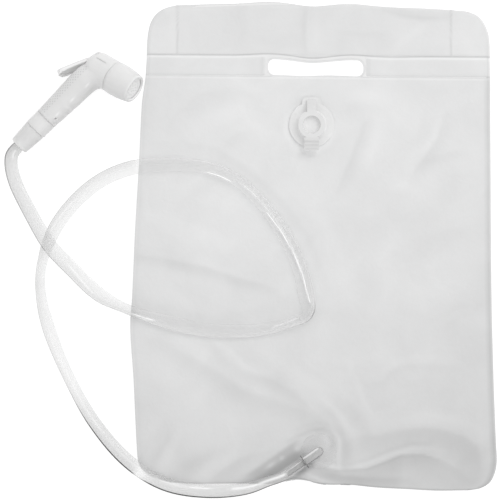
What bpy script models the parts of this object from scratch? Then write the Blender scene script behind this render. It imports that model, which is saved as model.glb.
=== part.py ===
"""Camp shower bag: a flat bag of clear film with a filler plug, an outlet, a hose and a lever handset.

The bag lies on its back panel. +X is its right side, +Y runs up to its header and +Z is up, in metres.
The handset lies beside it, rolled on its lever, and the hose runs between them.
"""
import math

import bmesh
import bpy
from mathutils import Matrix, Vector

# Fits shared by every piece
seat_gap = 0.0003
overrun = 0.004
weld_distance = 1e-6
edge_break = 0.0003
grip_clearance = 0.0006

# Film bag
film = 0.0004
bag_length = 0.412
header_width = 0.294
base_width = 0.310
top_corner_radius = 0.024
left_corner_radius = 0.034
right_corner_radius = 0.020
rim_width = 0.002
weld_ramp = 0.0006
crown = 0.0032
upper_weld_drop = 0.0412
band_height = 0.0182
corner_turn_shares = (0.0, 0.2, 0.4, 0.6, 0.8, 1.0)
body_row_shares = (0.06, 0.14, 0.30, 0.42, 0.54, 0.66, 0.78, 0.92)
body_column_shares = (-0.68, -0.5, -0.32, 0.32, 0.5, 0.68)

# Pieces inside the header and the band
liner_width = 0.234
liner_thickness = 0.0004
liner_margin = 0.003
strip_thickness = 0.0008
strip_margin = 0.0032
strip_weld_margin = 0.0003
slot_length = 0.085
slot_height = 0.0145
slot_rise = 0.0010
slot_corner_radius = 0.0045
slot_corner_steps = 4

# Filler valve and plug
valve_x = -0.0047
valve_drop = 0.1011
flange_radius = 0.0195
flange_thickness = 0.0010
neck_radius = 0.0118
neck_bore_radius = 0.0094
neck_height = 0.0065
neck_fillet = 0.0012
neck_bead = 0.0005
ear_width = 0.0168
ear_reach = 0.0238
ear_corner_radius = 0.0050
cap_thickness = 0.0014
shank_clearance = 0.0005
shank_depth = 0.0040
shank_taper = 0.0012
well_radius = 0.0078
well_taper = 0.0010
well_floor = 0.0010
strap_width = 0.0078
strap_thickness = 0.0012
strap_flat = 0.0016
strap_end_radius = 0.0009
hinge_reach = 0.0210
tab_width = 0.0125
tab_reach = 0.0220
tab_thickness = 0.0010
tab_rib_height = 0.0006
tab_rib_count = 3
strap_root_steps = 6

# Outlet fitting
outlet_x = 0.0017
outlet_rise = 0.0306
outlet_heading_degrees = 215.0
outlet_flange_radius = 0.0155
outlet_hole_radius = 0.0035
dome_radius = 0.0106
dome_shoulder_radius = 0.0072
dome_height = 0.0086
spout_radius = 0.0046
spout_length = 0.0142
spout_rise = 0.0068
spout_bore_radius = 0.0017
spout_collar_radius = 0.0066
spout_collar_thickness = 0.0016
tail_radius = 0.0026
tail_barb = 0.0003
tail_barb_count = 4
tail_length = 0.0180

# Hose
hose_radius = 0.0041
hose_round_steps = 2
hose_sample_steps = 2
hose_lead = 0.0200
hose_route = (
    (-0.0421, -0.2012, 0.0086),
    (-0.0611, -0.2076, 0.0058),
    (-0.0946, -0.2098, 0.0050),
    (-0.1307, -0.2036, 0.0061),
    (-0.1625, -0.1840, 0.0053),
    (-0.1909, -0.1514, 0.0043),
    (-0.2124, -0.1135, 0.0043),
    (-0.2288, -0.0748, 0.0043),
    (-0.2365, -0.0456, 0.0043),
    (-0.2374, -0.0215, 0.0043),
    (-0.2305, 0.0043, 0.0043),
    (-0.2176, 0.0275, 0.0043),
    (-0.1909, 0.0538, 0.0044),
    (-0.1625, 0.0671, 0.0057),
    (-0.1307, 0.0705, 0.0072),
    (-0.0937, 0.0679, 0.0088),
    (-0.0697, 0.0576, 0.0091),
    (-0.0473, 0.0374, 0.0093),
    (-0.0275, 0.0095, 0.0093),
    (-0.0146, -0.0198, 0.0093),
    (-0.0088, -0.0447, 0.0093),
    (-0.0103, -0.0550, 0.0093),
    (-0.0215, -0.0640, 0.0093),
    (-0.0576, -0.0722, 0.0093),
    (-0.0963, -0.0714, 0.0090),
    (-0.1333, -0.0632, 0.0078),
    (-0.1608, -0.0542, 0.0057),
    (-0.1866, -0.0413, 0.0045),
    (-0.2107, -0.0189, 0.0060),
    (-0.2296, 0.0013, 0.0132),
    (-0.2468, 0.0301, 0.0056),
    (-0.2597, 0.0568, 0.0045),
    (-0.2644, 0.0714, 0.0053),
    (-0.2638, 0.0790, 0.0068),
)

# Handset placing: the elbow is where the handle axis meets the nozzle axis
elbow_x = -0.1881
elbow_y = 0.1535
elbow_height = 0.0163
handle_heading_degrees = 44.5
handle_pitch_degrees = 4.7
handset_roll_degrees = 23.0
nozzle_turn_degrees = 74.5

# Handle and head, measured from the elbow
handle_length = 0.0617
handle_foot_radius = 0.0100
handle_top_radius = 0.0122
finger_rise = 0.0006
finger_count = 3
finger_span_shares = (0.12, 0.72)
handle_stations = 13
bend_radius = 0.0220
bend_stations = 6
bend_end_radius = 0.0136
head_radius = 0.0140
head_back = 0.0080
head_back_shares = ((1.0, 0.0), (1.0, 0.54), (0.92, 0.70), (0.70, 0.84), (0.40, 0.94), (0.0, 1.0))
head_front = 0.0169
collar_chamfer = 0.0006
spigot_radius = 0.0107
spigot_bore_radius = 0.0084
spigot_end = 0.0270
round_sides = 32
small_sides = 20
vent_radius = 0.0008
vent_depth = 0.0016
vent_height = 0.0060
vent_front = 0.0088
slit_start = 0.0001
slit_end = 0.0104
slit_height = 0.0064
slit_width = 0.0008
slit_depth = 0.0009

# Water way and valve inside the head, distances along the nozzle axis from the elbow
water_bore_radius = 0.0040
water_bore_front = 0.0068
water_bore_top = 0.0060
chamber_radius = 0.0065
chamber_start = 0.0042
chamber_end = 0.0092
seat_hole_radius = 0.0036
seat_face = 0.0112
seat_ring_radius = 0.0048
seat_ring_height = 0.0006
stem_radius = 0.0016
stem_clearance = 0.0003
stem_tip = -0.0095
stem_tip_dome = 0.0006
washer_radius = 0.0055
washer_thickness = 0.0013
disc_thickness = 0.0016
spring_pip_radius = 0.0023
spring_pip_length = 0.0018
gland_radius = 0.0040
gland_start = -0.0030
gland_length = 0.0034
seal_section_radius = 0.0008
spring_radius = 0.0034
spring_wire_radius = 0.00035
spring_turns = 7
spring_turn_steps = 10
spring_round_steps = 1

# Nozzle
sleeve_length = 0.0235
sleeve_belly = 0.0008
sleeve_belly_shares = ((0.22, 0.7), (0.5, 1.0), (0.78, 0.7))
sleeve_mouth_radius = 0.0124
sleeve_bore_radius = 0.0112
retainer_thickness = 0.0019
retainer_boss = 0.0055
stack_bore_radius = 0.0109
mouth_bore_radius = 0.0099
gasket_thickness = 0.0014
gasket_width = 0.0018
plate_thickness = 0.0022
plate_hole_radius = 0.0006
plate_ring_counts = (1, 6, 12)
plate_ring_pitch = 0.0032
port_count = 6
port_radius = 0.0016
port_ring_radius = 0.0054
hole_sides = 8

# Lever, measured from its pivot, along and out of its own line
pivot_along = -0.0040
pivot_above = 0.0095
lever_open_degrees = 25.2
lever_travel_degrees = 11.0
lever_length = 0.0396
lever_inner = 0.0026
lever_outer = 0.0012
lever_crown = 0.0008
lever_width = 0.0136
lever_lip = 0.0012
lever_wall = 0.0012
hub_radius = 0.0030
hub_width = 0.0074
hub_neck_share = 0.16
lever_plan_shares = ((0.04, 0.545, 0), (0.16, 0.545, 0), (0.26, 0.96, 0), (0.42, 0.98, 0), (0.66, 1.0, 0),
                     (0.84, 0.98, 0.7), (0.93, 0.82, 1.0), (0.98, 0.55, 1.0), (1.0, 0.30, 0.7))
hollow_span_shares = (0.40, 0.95)
heel_face = -0.0098
heel_half_width = 0.0030
pin_radius = 0.0012
pin_half_length = 0.0076

# Hose nut and inlet connector, distances down the handle axis from the elbow
nut_length = 0.0198
nut_mouth_radius = 0.0083
nut_head_radius = 0.0097
nut_wall = 0.0018
nut_floor = 0.0030
connector_collar_length = 0.0135
connector_collar_radius = 0.0100
connector_thread_length = 0.0042
connector_thread_radius = 0.0075
connector_tail_length = 0.0125
connector_spigot_radius = 0.0067
connector_spigot_length = 0.0077
connector_bore_radius = 0.0040
socket_depth = 0.0090
inlet_washer_width = 0.0020
inlet_washer_thickness = 0.0007

# Heights and places worked out from the sizes above
back_top = film
rim_under = back_top + seat_gap
liner_under = rim_under
header_under = liner_under + liner_thickness + seat_gap
band_under = rim_under + strip_thickness + seat_gap
bag_top = bag_length / 2
bag_base = -bag_length / 2
upper_weld = bag_top - upper_weld_drop
lower_weld = upper_weld - band_height
body_middle = (lower_weld + bag_base) / 2
body_half = (lower_weld - bag_base) / 2
valve_y = bag_top - valve_drop
outlet_y = bag_base + outlet_rise
slot_middle = lower_weld + slot_rise + slot_height / 2
valve_seat_half = flange_radius + rim_width
outlet_seat_half = outlet_flange_radius + rim_width
hose_bore_radius = tail_radius + tail_barb + seat_gap
connector_top = handle_length + seat_gap
nut_top = connector_top + connector_collar_length + seat_gap
nut_bottom = nut_top + nut_length
tail_top = nut_top + connector_thread_length
hose_end = tail_top + seat_gap
washer_start = seat_face + seat_gap
disc_start = washer_start + washer_thickness + seat_gap
disc_end = disc_start + disc_thickness
retainer_start = spigot_end + seat_gap
retainer_end = retainer_start + retainer_thickness
stack_start = retainer_end + seat_gap
boss_end = retainer_end + retainer_boss
gasket_start = boss_end + seat_gap
gasket_end = gasket_start + gasket_thickness
plate_start = gasket_end + seat_gap
plate_end = plate_start + plate_thickness
sleeve_start = head_front + seat_gap
sleeve_end = sleeve_start + sleeve_length
lip_start = plate_end + seat_gap
seal_middle = gland_start + gland_length + seat_gap + seal_section_radius
gland_hole_end = seal_middle + seal_section_radius + seat_gap

# Colours and finishes, as red, green, blue, roughness and opacity
finishes = {
    "film": (0.86, 0.87, 0.87, 0.35, 0.6),
    "clear_fitting": (0.88, 0.89, 0.89, 0.15, 0.6),
    "clear_hose": (0.90, 0.91, 0.91, 0.12, 0.5),
    "milky_plastic": (0.86, 0.86, 0.85, 0.38, 1.0),
    "white_plastic": (0.90, 0.90, 0.89, 0.45, 1.0),
    "seal_rubber": (0.10, 0.10, 0.10, 0.75, 1.0),
    "spring_steel": (0.72, 0.72, 0.72, 0.25, 1.0),
}


def clear_scene():
    """Removes every object, so that the model starts from an empty scene."""
    for item in list(bpy.data.objects):
        bpy.data.objects.remove(item, do_unlink=True)


def finish_material(finish):
    """Returns the material of a finish, made once."""
    if finish in bpy.data.materials:
        return bpy.data.materials[finish]
    red, green, blue, roughness, opacity = finishes[finish]
    material = bpy.data.materials.new(finish)
    material.use_nodes = True
    shader = material.node_tree.nodes["Principled BSDF"]
    shader.inputs["Base Color"].default_value = (red, green, blue, 1.0)
    shader.inputs["Roughness"].default_value = roughness
    shader.inputs["Alpha"].default_value = opacity
    shader.inputs["Metallic"].default_value = 1.0 if finish == "spring_steel" else 0.0
    return material


def frame_empty(name, matrix, parent=None):
    """Adds an empty that carries a local frame."""
    item = bpy.data.objects.new(name, None)
    bpy.context.collection.objects.link(item)
    item.parent = parent
    item.matrix_basis = matrix
    return item


def mesh_object(name, shape, finish=None, parent=None, smooth_degrees=35.0):
    """Turns a bmesh into a named object, or into a hidden cutter where it has no finish."""
    bmesh.ops.remove_doubles(shape, verts=shape.verts, dist=weld_distance)
    bmesh.ops.recalc_face_normals(shape, faces=shape.faces)
    mesh = bpy.data.meshes.new(name)
    shape.to_mesh(mesh)
    shape.free()
    item = bpy.data.objects.new(name, mesh)
    bpy.context.collection.objects.link(item)
    item.parent = parent
    if finish is None:
        item.hide_render = True
        item.display_type = "WIRE"
    else:
        mesh.materials.append(finish_material(finish))
        mesh.shade_smooth()
        mesh.set_sharp_from_angle(angle=math.radians(smooth_degrees))
    return item


def combine(item, other, operation):
    """Adds a Boolean of another object to an item."""
    modifier = item.modifiers.new(other.name, "BOOLEAN")
    modifier.operation = operation
    modifier.solver = "EXACT"
    modifier.object = other


def cut(item, *cutters):
    """Takes each cutter out of the item."""
    for cutter in cutters:
        combine(item, cutter, "DIFFERENCE")


def join(item, *others):
    """Adds each other shape to the item."""
    for other in others:
        combine(item, other, "UNION")


def turned(name, outline, finish=None, parent=None, sides=round_sides):
    """Spins an outline of (height, radius) points about Z; it is closed where it never meets the axis."""
    shape = bmesh.new()
    points = [shape.verts.new((radius, 0, height)) for height, radius in outline]
    following = points[1:]
    if outline[0][1] > 0:
        following = following + points[:1]
    edges = [shape.edges.new(pair) for pair in zip(points, following)]
    bmesh.ops.spin(shape, geom=points + edges, cent=(0, 0, 0), axis=(0, 0, 1), angle=math.tau,
                   steps=sides, use_merge=True)
    return mesh_object(name, shape, finish, parent)


def extruded(name, outline, low, high, finish=None, parent=None, matrix=Matrix()):
    """Extrudes a flat outline of (x, y) points from low to high along Z, then places its points."""
    shape = bmesh.new()
    base = shape.faces.new([shape.verts.new((x, y, low)) for x, y in outline])
    walls = bmesh.ops.extrude_face_region(shape, geom=[base])["geom"]
    lifted = [part for part in walls if isinstance(part, bmesh.types.BMVert)]
    bmesh.ops.translate(shape, verts=lifted, vec=(0, 0, high - low))
    bmesh.ops.transform(shape, matrix=matrix, verts=shape.verts)
    return mesh_object(name, shape, finish, parent)


def block(name, low, high, finish=None, parent=None):
    """Makes a box between two corners."""
    outline = ((low[0], low[1]), (high[0], low[1]), (high[0], high[1]), (low[0], high[1]))
    return extruded(name, outline, low[2], high[2], finish, parent)


def lofted(name, rings, finish=None, parent=None):
    """Skins a row of rings that have the same number of points, and closes both ends."""
    shape = bmesh.new()
    loops = [[shape.verts.new(point) for point in ring] for ring in rings]
    for lower, upper in zip(loops, loops[1:]):
        for index, corner in enumerate(lower):
            shape.faces.new((lower[index - 1], corner, upper[index], upper[index - 1]))
    shape.faces.new(loops[0])
    shape.faces.new(loops[-1])
    return mesh_object(name, shape, finish, parent)


def rod(name, start, end, radius, finish=None, parent=None, sides=small_sides):
    """Makes a cylinder from one point to another."""
    start, end = Vector(start), Vector(end)
    turn = (end - start).to_track_quat("Z", "Y").to_matrix().to_4x4()
    shape = bmesh.new()
    bmesh.ops.create_cone(shape, cap_ends=True, segments=sides, radius1=radius, radius2=radius,
                          depth=(end - start).length)
    bmesh.ops.transform(shape, matrix=Matrix.Translation((start + end) / 2) @ turn, verts=shape.verts)
    return mesh_object(name, shape, finish, parent)


def rounded_rectangle(width, height, radius, steps, middle_x=0, middle_y=0):
    """Returns the outline of a rectangle with round corners, anticlockwise."""
    points = []
    for quarter in range(4):
        side_x = 1 if quarter in (0, 3) else -1
        side_y = 1 if quarter in (0, 1) else -1
        for step in range(steps + 1):
            angle = (quarter + step / steps) * math.pi / 2
            points.append((middle_x + side_x * (width / 2 - radius) + radius * math.cos(angle),
                           middle_y + side_y * (height / 2 - radius) + radius * math.sin(angle)))
    return points


def chamfered_ring(start, end, inner, outer):
    """Returns the outline of a ring with broken outer edges."""
    return ((start, inner), (start, outer - edge_break), (start + edge_break, outer),
            (end - edge_break, outer), (end, outer - edge_break), (end, inner))


# Bag of two film panels

def corner_inset(radius, distance):
    """How far a round corner draws the side in, at a distance from the end of the bag."""
    if distance >= radius:
        return 0
    return radius - math.sqrt(radius ** 2 - (radius - distance) ** 2)


def half_width(y):
    """Half the width of the bag before its corners are rounded."""
    share = (bag_top - y) / bag_length
    return (header_width + (base_width - header_width) * share) / 2


def left_side(y):
    inset = corner_inset(top_corner_radius, bag_top - y) + corner_inset(left_corner_radius, y - bag_base)
    return -half_width(y) + inset


def right_side(y):
    inset = corner_inset(top_corner_radius, bag_top - y) + corner_inset(right_corner_radius, y - bag_base)
    return half_width(y) - inset


def bag_rows():
    """The heights at which the film outline and the front panel have points, from base to top."""
    rows = []
    for share in corner_turn_shares:
        turn = share * math.pi / 2
        rows.append(bag_base + left_corner_radius * (1 - math.cos(turn)))
        rows.append(bag_top - top_corner_radius * (1 - math.cos(turn)))
    rows += [bag_base + rim_width, bag_top - rim_width]
    rows += [lower_weld - weld_ramp, lower_weld, upper_weld, upper_weld + weld_ramp]
    rows += [valve_y - valve_seat_half, valve_y + valve_seat_half]
    rows += [outlet_y - outlet_seat_half, outlet_y + outlet_seat_half]
    rows += [bag_base + share * (lower_weld - bag_base) for share in body_row_shares]
    return thin_out(rows)


def thin_out(values):
    """Sorts values and leaves out any that lie closer than the weld ramp to the one before."""
    kept = []
    for value in sorted(values):
        if not kept or value - kept[-1] > weld_ramp / 2:
            kept.append(value)
    return kept


def body_columns():
    """The upright grid lines between the rims, the same in every row."""
    columns = [share * base_width / 2 for share in body_column_shares]
    columns += [valve_x - valve_seat_half, valve_x + valve_seat_half]
    columns += [outlet_x - outlet_seat_half, outlet_x + outlet_seat_half]
    return thin_out(columns)


def crowned_under(x, y):
    """Underside of the front film over the body, which swells a little with trapped air."""
    across = min(1, abs(x) / half_width(y))
    along = min(1, abs(y - body_middle) / body_half)
    return rim_under + crown * (1 - across ** 4) * (1 - along ** 4)


def within(value, middle, half):
    return abs(value - middle) <= half + weld_distance


def front_under(x, y):
    """Underside of the front film away from its welded rim."""
    if y > upper_weld + weld_ramp / 2:
        return header_under
    if y > lower_weld - weld_ramp / 2:
        return band_under
    if within(x, valve_x, valve_seat_half) and within(y, valve_y, valve_seat_half):
        return crowned_under(valve_x, valve_y)
    if within(x, outlet_x, outlet_seat_half) and within(y, outlet_y, outlet_seat_half):
        return crowned_under(outlet_x, outlet_y)
    return crowned_under(x, y)


def bag_outline():
    """The outline of the film, up the right side and down the left."""
    rows = bag_rows()
    return [(right_side(y), y) for y in rows] + [(left_side(y), y) for y in reversed(rows)]


def slot_cutter():
    outline = rounded_rectangle(slot_length, slot_height, slot_corner_radius, slot_corner_steps,
                                middle_y=slot_middle)
    return extruded("carry_slot_cutter", outline, -overrun, band_under + film + overrun)


def make_back_panel(slot):
    panel = extruded("bag_back_panel", bag_outline(), 0, film, "film")
    cut(panel, slot)


def make_front_panel(slot):
    """Lays the front film over what the bag holds, as one grid that is thickened upwards."""
    shape = bmesh.new()
    rows = bag_rows()
    grid = []
    for row, y in enumerate(rows):
        left, right = left_side(y), right_side(y)
        line = [left, left + rim_width, *body_columns(), right - rim_width, right]
        edge_row = row in (0, len(rows) - 1)
        verts = []
        for column, x in enumerate(line):
            at_rim = edge_row or column in (0, len(line) - 1)
            verts.append(shape.verts.new((x, y, rim_under if at_rim else front_under(x, y))))
        grid.append(verts)
    for lower, upper in zip(grid, grid[1:]):
        for index in range(len(lower) - 1):
            shape.faces.new((lower[index], lower[index + 1], upper[index + 1], upper[index]))
    walls = bmesh.ops.extrude_face_region(shape, geom=shape.faces[:])["geom"]
    lifted = [part for part in walls if isinstance(part, bmesh.types.BMVert)]
    bmesh.ops.translate(shape, verts=lifted, vec=(0, 0, film))
    panel = mesh_object("bag_front_panel", shape, "film")
    filler_hole = rod("filler_hole_cutter", (valve_x, valve_y, back_top + seat_gap / 2),
                      (valve_x, valve_y, band_under + crown + overrun), neck_bore_radius, sides=round_sides)
    outlet_hole = rod("outlet_hole_cutter", (outlet_x, outlet_y, back_top + seat_gap / 2),
                      (outlet_x, outlet_y, band_under + crown + overrun), outlet_hole_radius)
    cut(panel, slot, filler_hole, outlet_hole)


def make_header_liner():
    top = bag_top - liner_margin
    block("header_liner", (-liner_width / 2, upper_weld + liner_margin, liner_under),
          (liner_width / 2, top, liner_under + liner_thickness), "film")


def make_handle_strip(slot):
    low_y, high_y = lower_weld + strip_weld_margin, upper_weld - strip_weld_margin
    half = half_width(upper_weld) - strip_margin
    strip = block("handle_strip", (-half, low_y, rim_under), (half, high_y, rim_under + strip_thickness),
                  "clear_fitting")
    cut(strip, slot)


# Filler valve and its plug

valve_seat = crowned_under(valve_x, valve_y) + film + seat_gap
neck_top = flange_thickness + neck_height
hinge_height = flange_thickness + seat_gap + strap_end_radius
cap_under = neck_top + seat_gap


def make_filler_valve():
    """A welded flange with a short neck, and an ear that carries the plug's strap."""
    outline = [(0, neck_bore_radius), (0, flange_radius - edge_break), (edge_break, flange_radius),
               (flange_thickness - edge_break, flange_radius), (flange_thickness, flange_radius - edge_break),
               (flange_thickness, neck_radius + neck_fillet), (flange_thickness + neck_fillet / 3,
                                                              neck_radius + neck_fillet / 3),
               (flange_thickness + neck_fillet, neck_radius), (neck_top - neck_bead * 3, neck_radius),
               (neck_top - neck_bead * 2, neck_radius + neck_bead),
               (neck_top - neck_bead, neck_radius + neck_bead), (neck_top, neck_radius),
               (neck_top, neck_bore_radius)]
    valve_frame = frame_empty("filler_valve_seat", Matrix.Translation((valve_x, valve_y, valve_seat)))
    valve = turned("filler_valve", outline, "clear_fitting", valve_frame)
    ear_root = neck_radius + neck_fillet / 2
    ear_length = ear_reach - ear_root
    ear = extruded("filler_ear", rounded_rectangle(ear_width, ear_length, ear_corner_radius, slot_corner_steps,
                                                   middle_y=ear_root + ear_length / 2),
                   flange_thickness * 0.1, flange_thickness * 0.9, parent=valve_frame)
    join(valve, ear)
    return valve_frame


def make_filler_plug(valve_frame):
    """The plug, its strap and its ribbed tab are one moulding that swings on the strap's root."""
    hinge = frame_empty("filler_plug_hinge", Matrix.Translation((0, hinge_reach, hinge_height)), valve_frame)
    cap_radius = neck_radius
    shank_radius = neck_bore_radius - shank_clearance
    rise = cap_under - hinge_height
    low = -shank_depth
    outline = [(low + well_floor, 0), (low + well_floor, well_radius - well_taper), (cap_thickness, well_radius),
               (cap_thickness, cap_radius - edge_break), (cap_thickness - edge_break, cap_radius),
               (edge_break, cap_radius), (0, cap_radius - edge_break), (0, shank_radius),
               (low + edge_break, shank_radius - shank_taper), (low, shank_radius - shank_taper - edge_break),
               (low, 0)]
    shift = Matrix.Translation((0, -hinge_reach, rise))
    plug = turned("filler_plug", outline, "clear_fitting", hinge)
    plug.data.transform(shift)
    across = Matrix(((0, 0, 1, 0), (1, 0, 0, 0), (0, 1, 0, 0), (0, 0, 0, 1)))
    join(plug,
         extruded("plug_strap", strap_profile(rise), -strap_width / 2, strap_width / 2, parent=hinge,
                  matrix=across),
         extruded("plug_tab", tab_profile(rise), -tab_width / 2, tab_width / 2, parent=hinge, matrix=across))


def strap_profile(rise):
    """Side view of the strap: level off the cap, sloping down to the ear, with a round end on the hinge axis."""
    start = -hinge_reach + neck_radius - overrun / 4
    bend = -hinge_reach + neck_radius + strap_flat
    low = rise + edge_break
    high = low + strap_thickness
    points = [(start, high), (start, low), (bend, low)]
    slope = math.atan2(low, -bend)
    for step in range(strap_root_steps + 1):
        angle = -math.pi / 2 - slope + step / strap_root_steps * math.pi
        points.append((strap_end_radius * math.cos(angle), strap_end_radius * math.sin(angle)))
    points.append((bend + strap_thickness / 2, high))
    return points


def tab_profile(rise):
    """Side view of the pull tab, with ribs across its top."""
    root = -hinge_reach - neck_radius + overrun / 4
    tip = -hinge_reach - tab_reach
    low = rise + edge_break
    high = low + tab_thickness
    ribbed = -hinge_reach - neck_radius - tab_rib_height
    pitch = (ribbed - tip) / (2 * tab_rib_count)
    points = [(tip, high), (tip, low), (root, low), (root, high)]
    for rib in range(tab_rib_count):
        start = ribbed - pitch * 2 * rib
        points += [(start, high), (start, high + tab_rib_height), (start - pitch, high + tab_rib_height),
                   (start - pitch, high)]
    return points


# Outlet fitting

outlet_seat = crowned_under(outlet_x, outlet_y) + film + seat_gap


def barbed_tail(start, direction, radius, barb, length, count):
    """Returns (place, radius) points of a tail with saw-tooth barbs, from its root to its tip."""
    pitch = length / count
    points = []
    for index in range(count):
        root = start + direction * pitch * index
        points += [(root, radius), (root, radius + barb)] if index else [(root, radius + barb)]
        points.append((root + direction * pitch, radius))
    return points


def make_outlet():
    """A welded flange and dome with a level spout, which ends in a collar and a barbed hose tail."""
    seat = Matrix.Translation((outlet_x, outlet_y, outlet_seat))
    seat_frame = frame_empty("outlet_seat", seat)
    dome = [(0, 0), (0, outlet_flange_radius - edge_break), (edge_break, outlet_flange_radius),
            (flange_thickness - edge_break, outlet_flange_radius),
            (flange_thickness, outlet_flange_radius - edge_break),
            (flange_thickness, dome_radius), (dome_height * 0.45, dome_radius - edge_break),
            (dome_height * 0.85, dome_shoulder_radius), (dome_height, dome_shoulder_radius * 0.7),
            (dome_height, 0)]
    fitting = turned("outlet_fitting", dome, "clear_fitting", seat_frame)
    heading = Matrix.Rotation(math.radians(outlet_heading_degrees), 4, "Z")
    lay_down = Matrix.Rotation(math.pi / 2, 4, "Y")
    spout_frame = frame_empty("spout_axis", Matrix.Translation((0, 0, spout_rise)) @ heading @ lay_down,
                              seat_frame)
    collar_end = spout_length + spout_collar_thickness
    spout = [(0, 0), (0, spout_radius), (spout_length, spout_radius),
             (spout_length, spout_collar_radius - edge_break),
             (spout_length + edge_break, spout_collar_radius), (collar_end - edge_break, spout_collar_radius),
             (collar_end, spout_collar_radius - edge_break)]
    spout += barbed_tail(collar_end, 1, tail_radius, tail_barb, tail_length, tail_barb_count)
    spout += [(collar_end + tail_length, 0)]
    join(fitting, turned("outlet_spout", spout, parent=spout_frame, sides=small_sides))
    cut(fitting,
        rod("outlet_riser_cutter", (0, 0, -overrun), (0, 0, spout_rise), spout_bore_radius, parent=seat_frame),
        rod("outlet_bore_cutter", (0, 0, -spout_bore_radius / 2), (0, 0, collar_end + tail_length + overrun),
            spout_bore_radius, parent=spout_frame))
    return collar_end + seat_gap


# Hose

def smooth_points(points, samples):
    """Reads a centripetal smooth curve through the points."""
    padded = [points[0] * 2 - points[1], *points, points[-1] * 2 - points[-2]]
    result = []
    for before, start, end, after in zip(padded, padded[1:], padded[2:], padded[3:]):
        first = math.sqrt((start - before).length)
        middle = math.sqrt((end - start).length)
        last = math.sqrt((after - end).length)
        slope_start = ((start - before) / first - (end - before) / (first + middle) + (end - start) / middle)
        slope_end = ((end - start) / middle - (after - start) / (middle + last) + (after - end) / last)
        leaving, arriving = slope_start * middle, slope_end * middle
        for step in range(samples):
            t = step / samples
            result.append((2 * t ** 3 - 3 * t ** 2 + 1) * start + (t ** 3 - 2 * t ** 2 + t) * leaving
                          + (3 * t ** 2 - 2 * t ** 3) * end + (t ** 3 - t ** 2) * arriving)
    return result + [points[-1]]


def handset_matrix():
    """The handset's frame: X to the nozzle side, Y up the handle, Z across it."""
    turn = Matrix.Rotation(math.radians(handle_heading_degrees) - math.pi / 2, 4, "Z")
    pitch = Matrix.Rotation(math.radians(handle_pitch_degrees), 4, "X")
    roll = Matrix.Rotation(-math.radians(handset_roll_degrees), 4, "Y")
    return Matrix.Translation((elbow_x, elbow_y, elbow_height)) @ turn @ pitch @ roll


def outlet_point(distance):
    """A point on the spout's axis, at a distance from the middle of the fitting."""
    turn = math.radians(outlet_heading_degrees)
    return Vector((outlet_x + distance * math.cos(turn), outlet_y + distance * math.sin(turn),
                   outlet_seat + spout_rise))


def handle_point(distance):
    """A point on the handle's axis, at a distance down from the elbow."""
    return handset_matrix() @ Vector((0, -distance, 0))


def make_hose(hose_start):
    """One tube from the outlet collar to the inlet connector, bored at both ends for the barbed tails."""
    starts = [outlet_point(hose_start), outlet_point(hose_start + hose_lead)]
    ends = [handle_point(nut_bottom), handle_point(hose_end)]
    points = smooth_points(starts + [Vector(point) for point in hose_route] + ends, hose_sample_steps)
    length = sum((after - before).length for before, after in zip(points, points[1:]))
    print(f"hose length {length:.3f} m over {len(points)} points")
    curve = bpy.data.curves.new("hose_path", "CURVE")
    curve.dimensions = "3D"
    curve.bevel_depth = hose_radius
    curve.bevel_resolution = hose_round_steps
    curve.use_fill_caps = True
    line = curve.splines.new("POLY")
    line.points.add(len(points) - 1)
    for place, point in zip(line.points, points):
        place.co = (*point, 1.0)
    path = bpy.data.objects.new("hose_path", curve)
    bpy.context.collection.objects.link(path)
    bpy.context.view_layer.update()
    tube = path.evaluated_get(bpy.context.evaluated_depsgraph_get()).to_mesh()
    shape = bmesh.new()
    shape.from_mesh(tube)
    bpy.data.objects.remove(path, do_unlink=True)
    hose = mesh_object("hose", shape, "clear_hose", smooth_degrees=60.0)
    outlet_bore = rod("outlet_hose_bore_cutter", outlet_point(hose_start - overrun),
                      outlet_point(hose_start + tail_length + seat_gap), hose_bore_radius)
    inlet_bore = rod("inlet_hose_bore_cutter", handle_point(hose_end - overrun),
                     handle_point(tail_top + connector_tail_length + seat_gap * 2), hose_bore_radius)
    cut(hose, outlet_bore, inlet_bore)


# Handset

def along_nozzle():
    """Frame whose Z runs along the nozzle axis and whose X points to the top of the head."""
    turn = math.radians(nozzle_turn_degrees)
    sine, cosine = math.sin(turn), math.cos(turn)
    return Matrix(((-cosine, 0, sine, 0), (sine, 0, cosine, 0), (0, 1, 0, 0), (0, 0, 0, 1)))


def along_handle():
    """Frame whose Z runs up the handle and whose X points to the nozzle side."""
    return Matrix(((1, 0, 0, 0), (0, 0, 1, 0), (0, -1, 0, 0), (0, 0, 0, 1)))


def lever_frame(open_degrees):
    """Frame at the lever pivot: X down the lever, Y out of its back, for a given opening angle."""
    turn = math.radians(open_degrees)
    sine, cosine = math.sin(turn), math.cos(turn)
    pivot = along_nozzle() @ Vector((pivot_above, 0, pivot_along))
    axes = Matrix(((-sine, -cosine, 0, 0), (-cosine, sine, 0, 0), (0, 0, -1, 0), (0, 0, 0, 1)))
    return Matrix.Translation(pivot) @ axes


def handle_rings():
    """Rings up the grip and round the bend into the head, with low finger waves on the nozzle side."""
    turn = math.radians(nozzle_turn_degrees)
    tangent = bend_radius * math.tan(turn / 2)
    straight = handle_length - tangent
    rings = []
    for station in range(handle_stations):
        share = station / (handle_stations - 1)
        radius = handle_foot_radius + (handle_top_radius - handle_foot_radius) * share
        low, high = finger_span_shares
        wave = 0
        if low < share < high:
            wave = finger_rise * math.sin((share - low) / (high - low) * finger_count * math.pi) ** 2
        rings.append(grip_ring(Vector((0, -handle_length + straight * share, 0)), 0, radius, wave))
    for station in range(1, bend_stations + 1):
        share = station / bend_stations
        angle = turn * share
        middle = Vector((bend_radius * (1 - math.cos(angle)), -tangent + bend_radius * math.sin(angle), 0))
        radius = handle_top_radius + (bend_end_radius - handle_top_radius) * share
        rings.append(grip_ring(middle, angle, radius, 0))
    return rings


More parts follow.
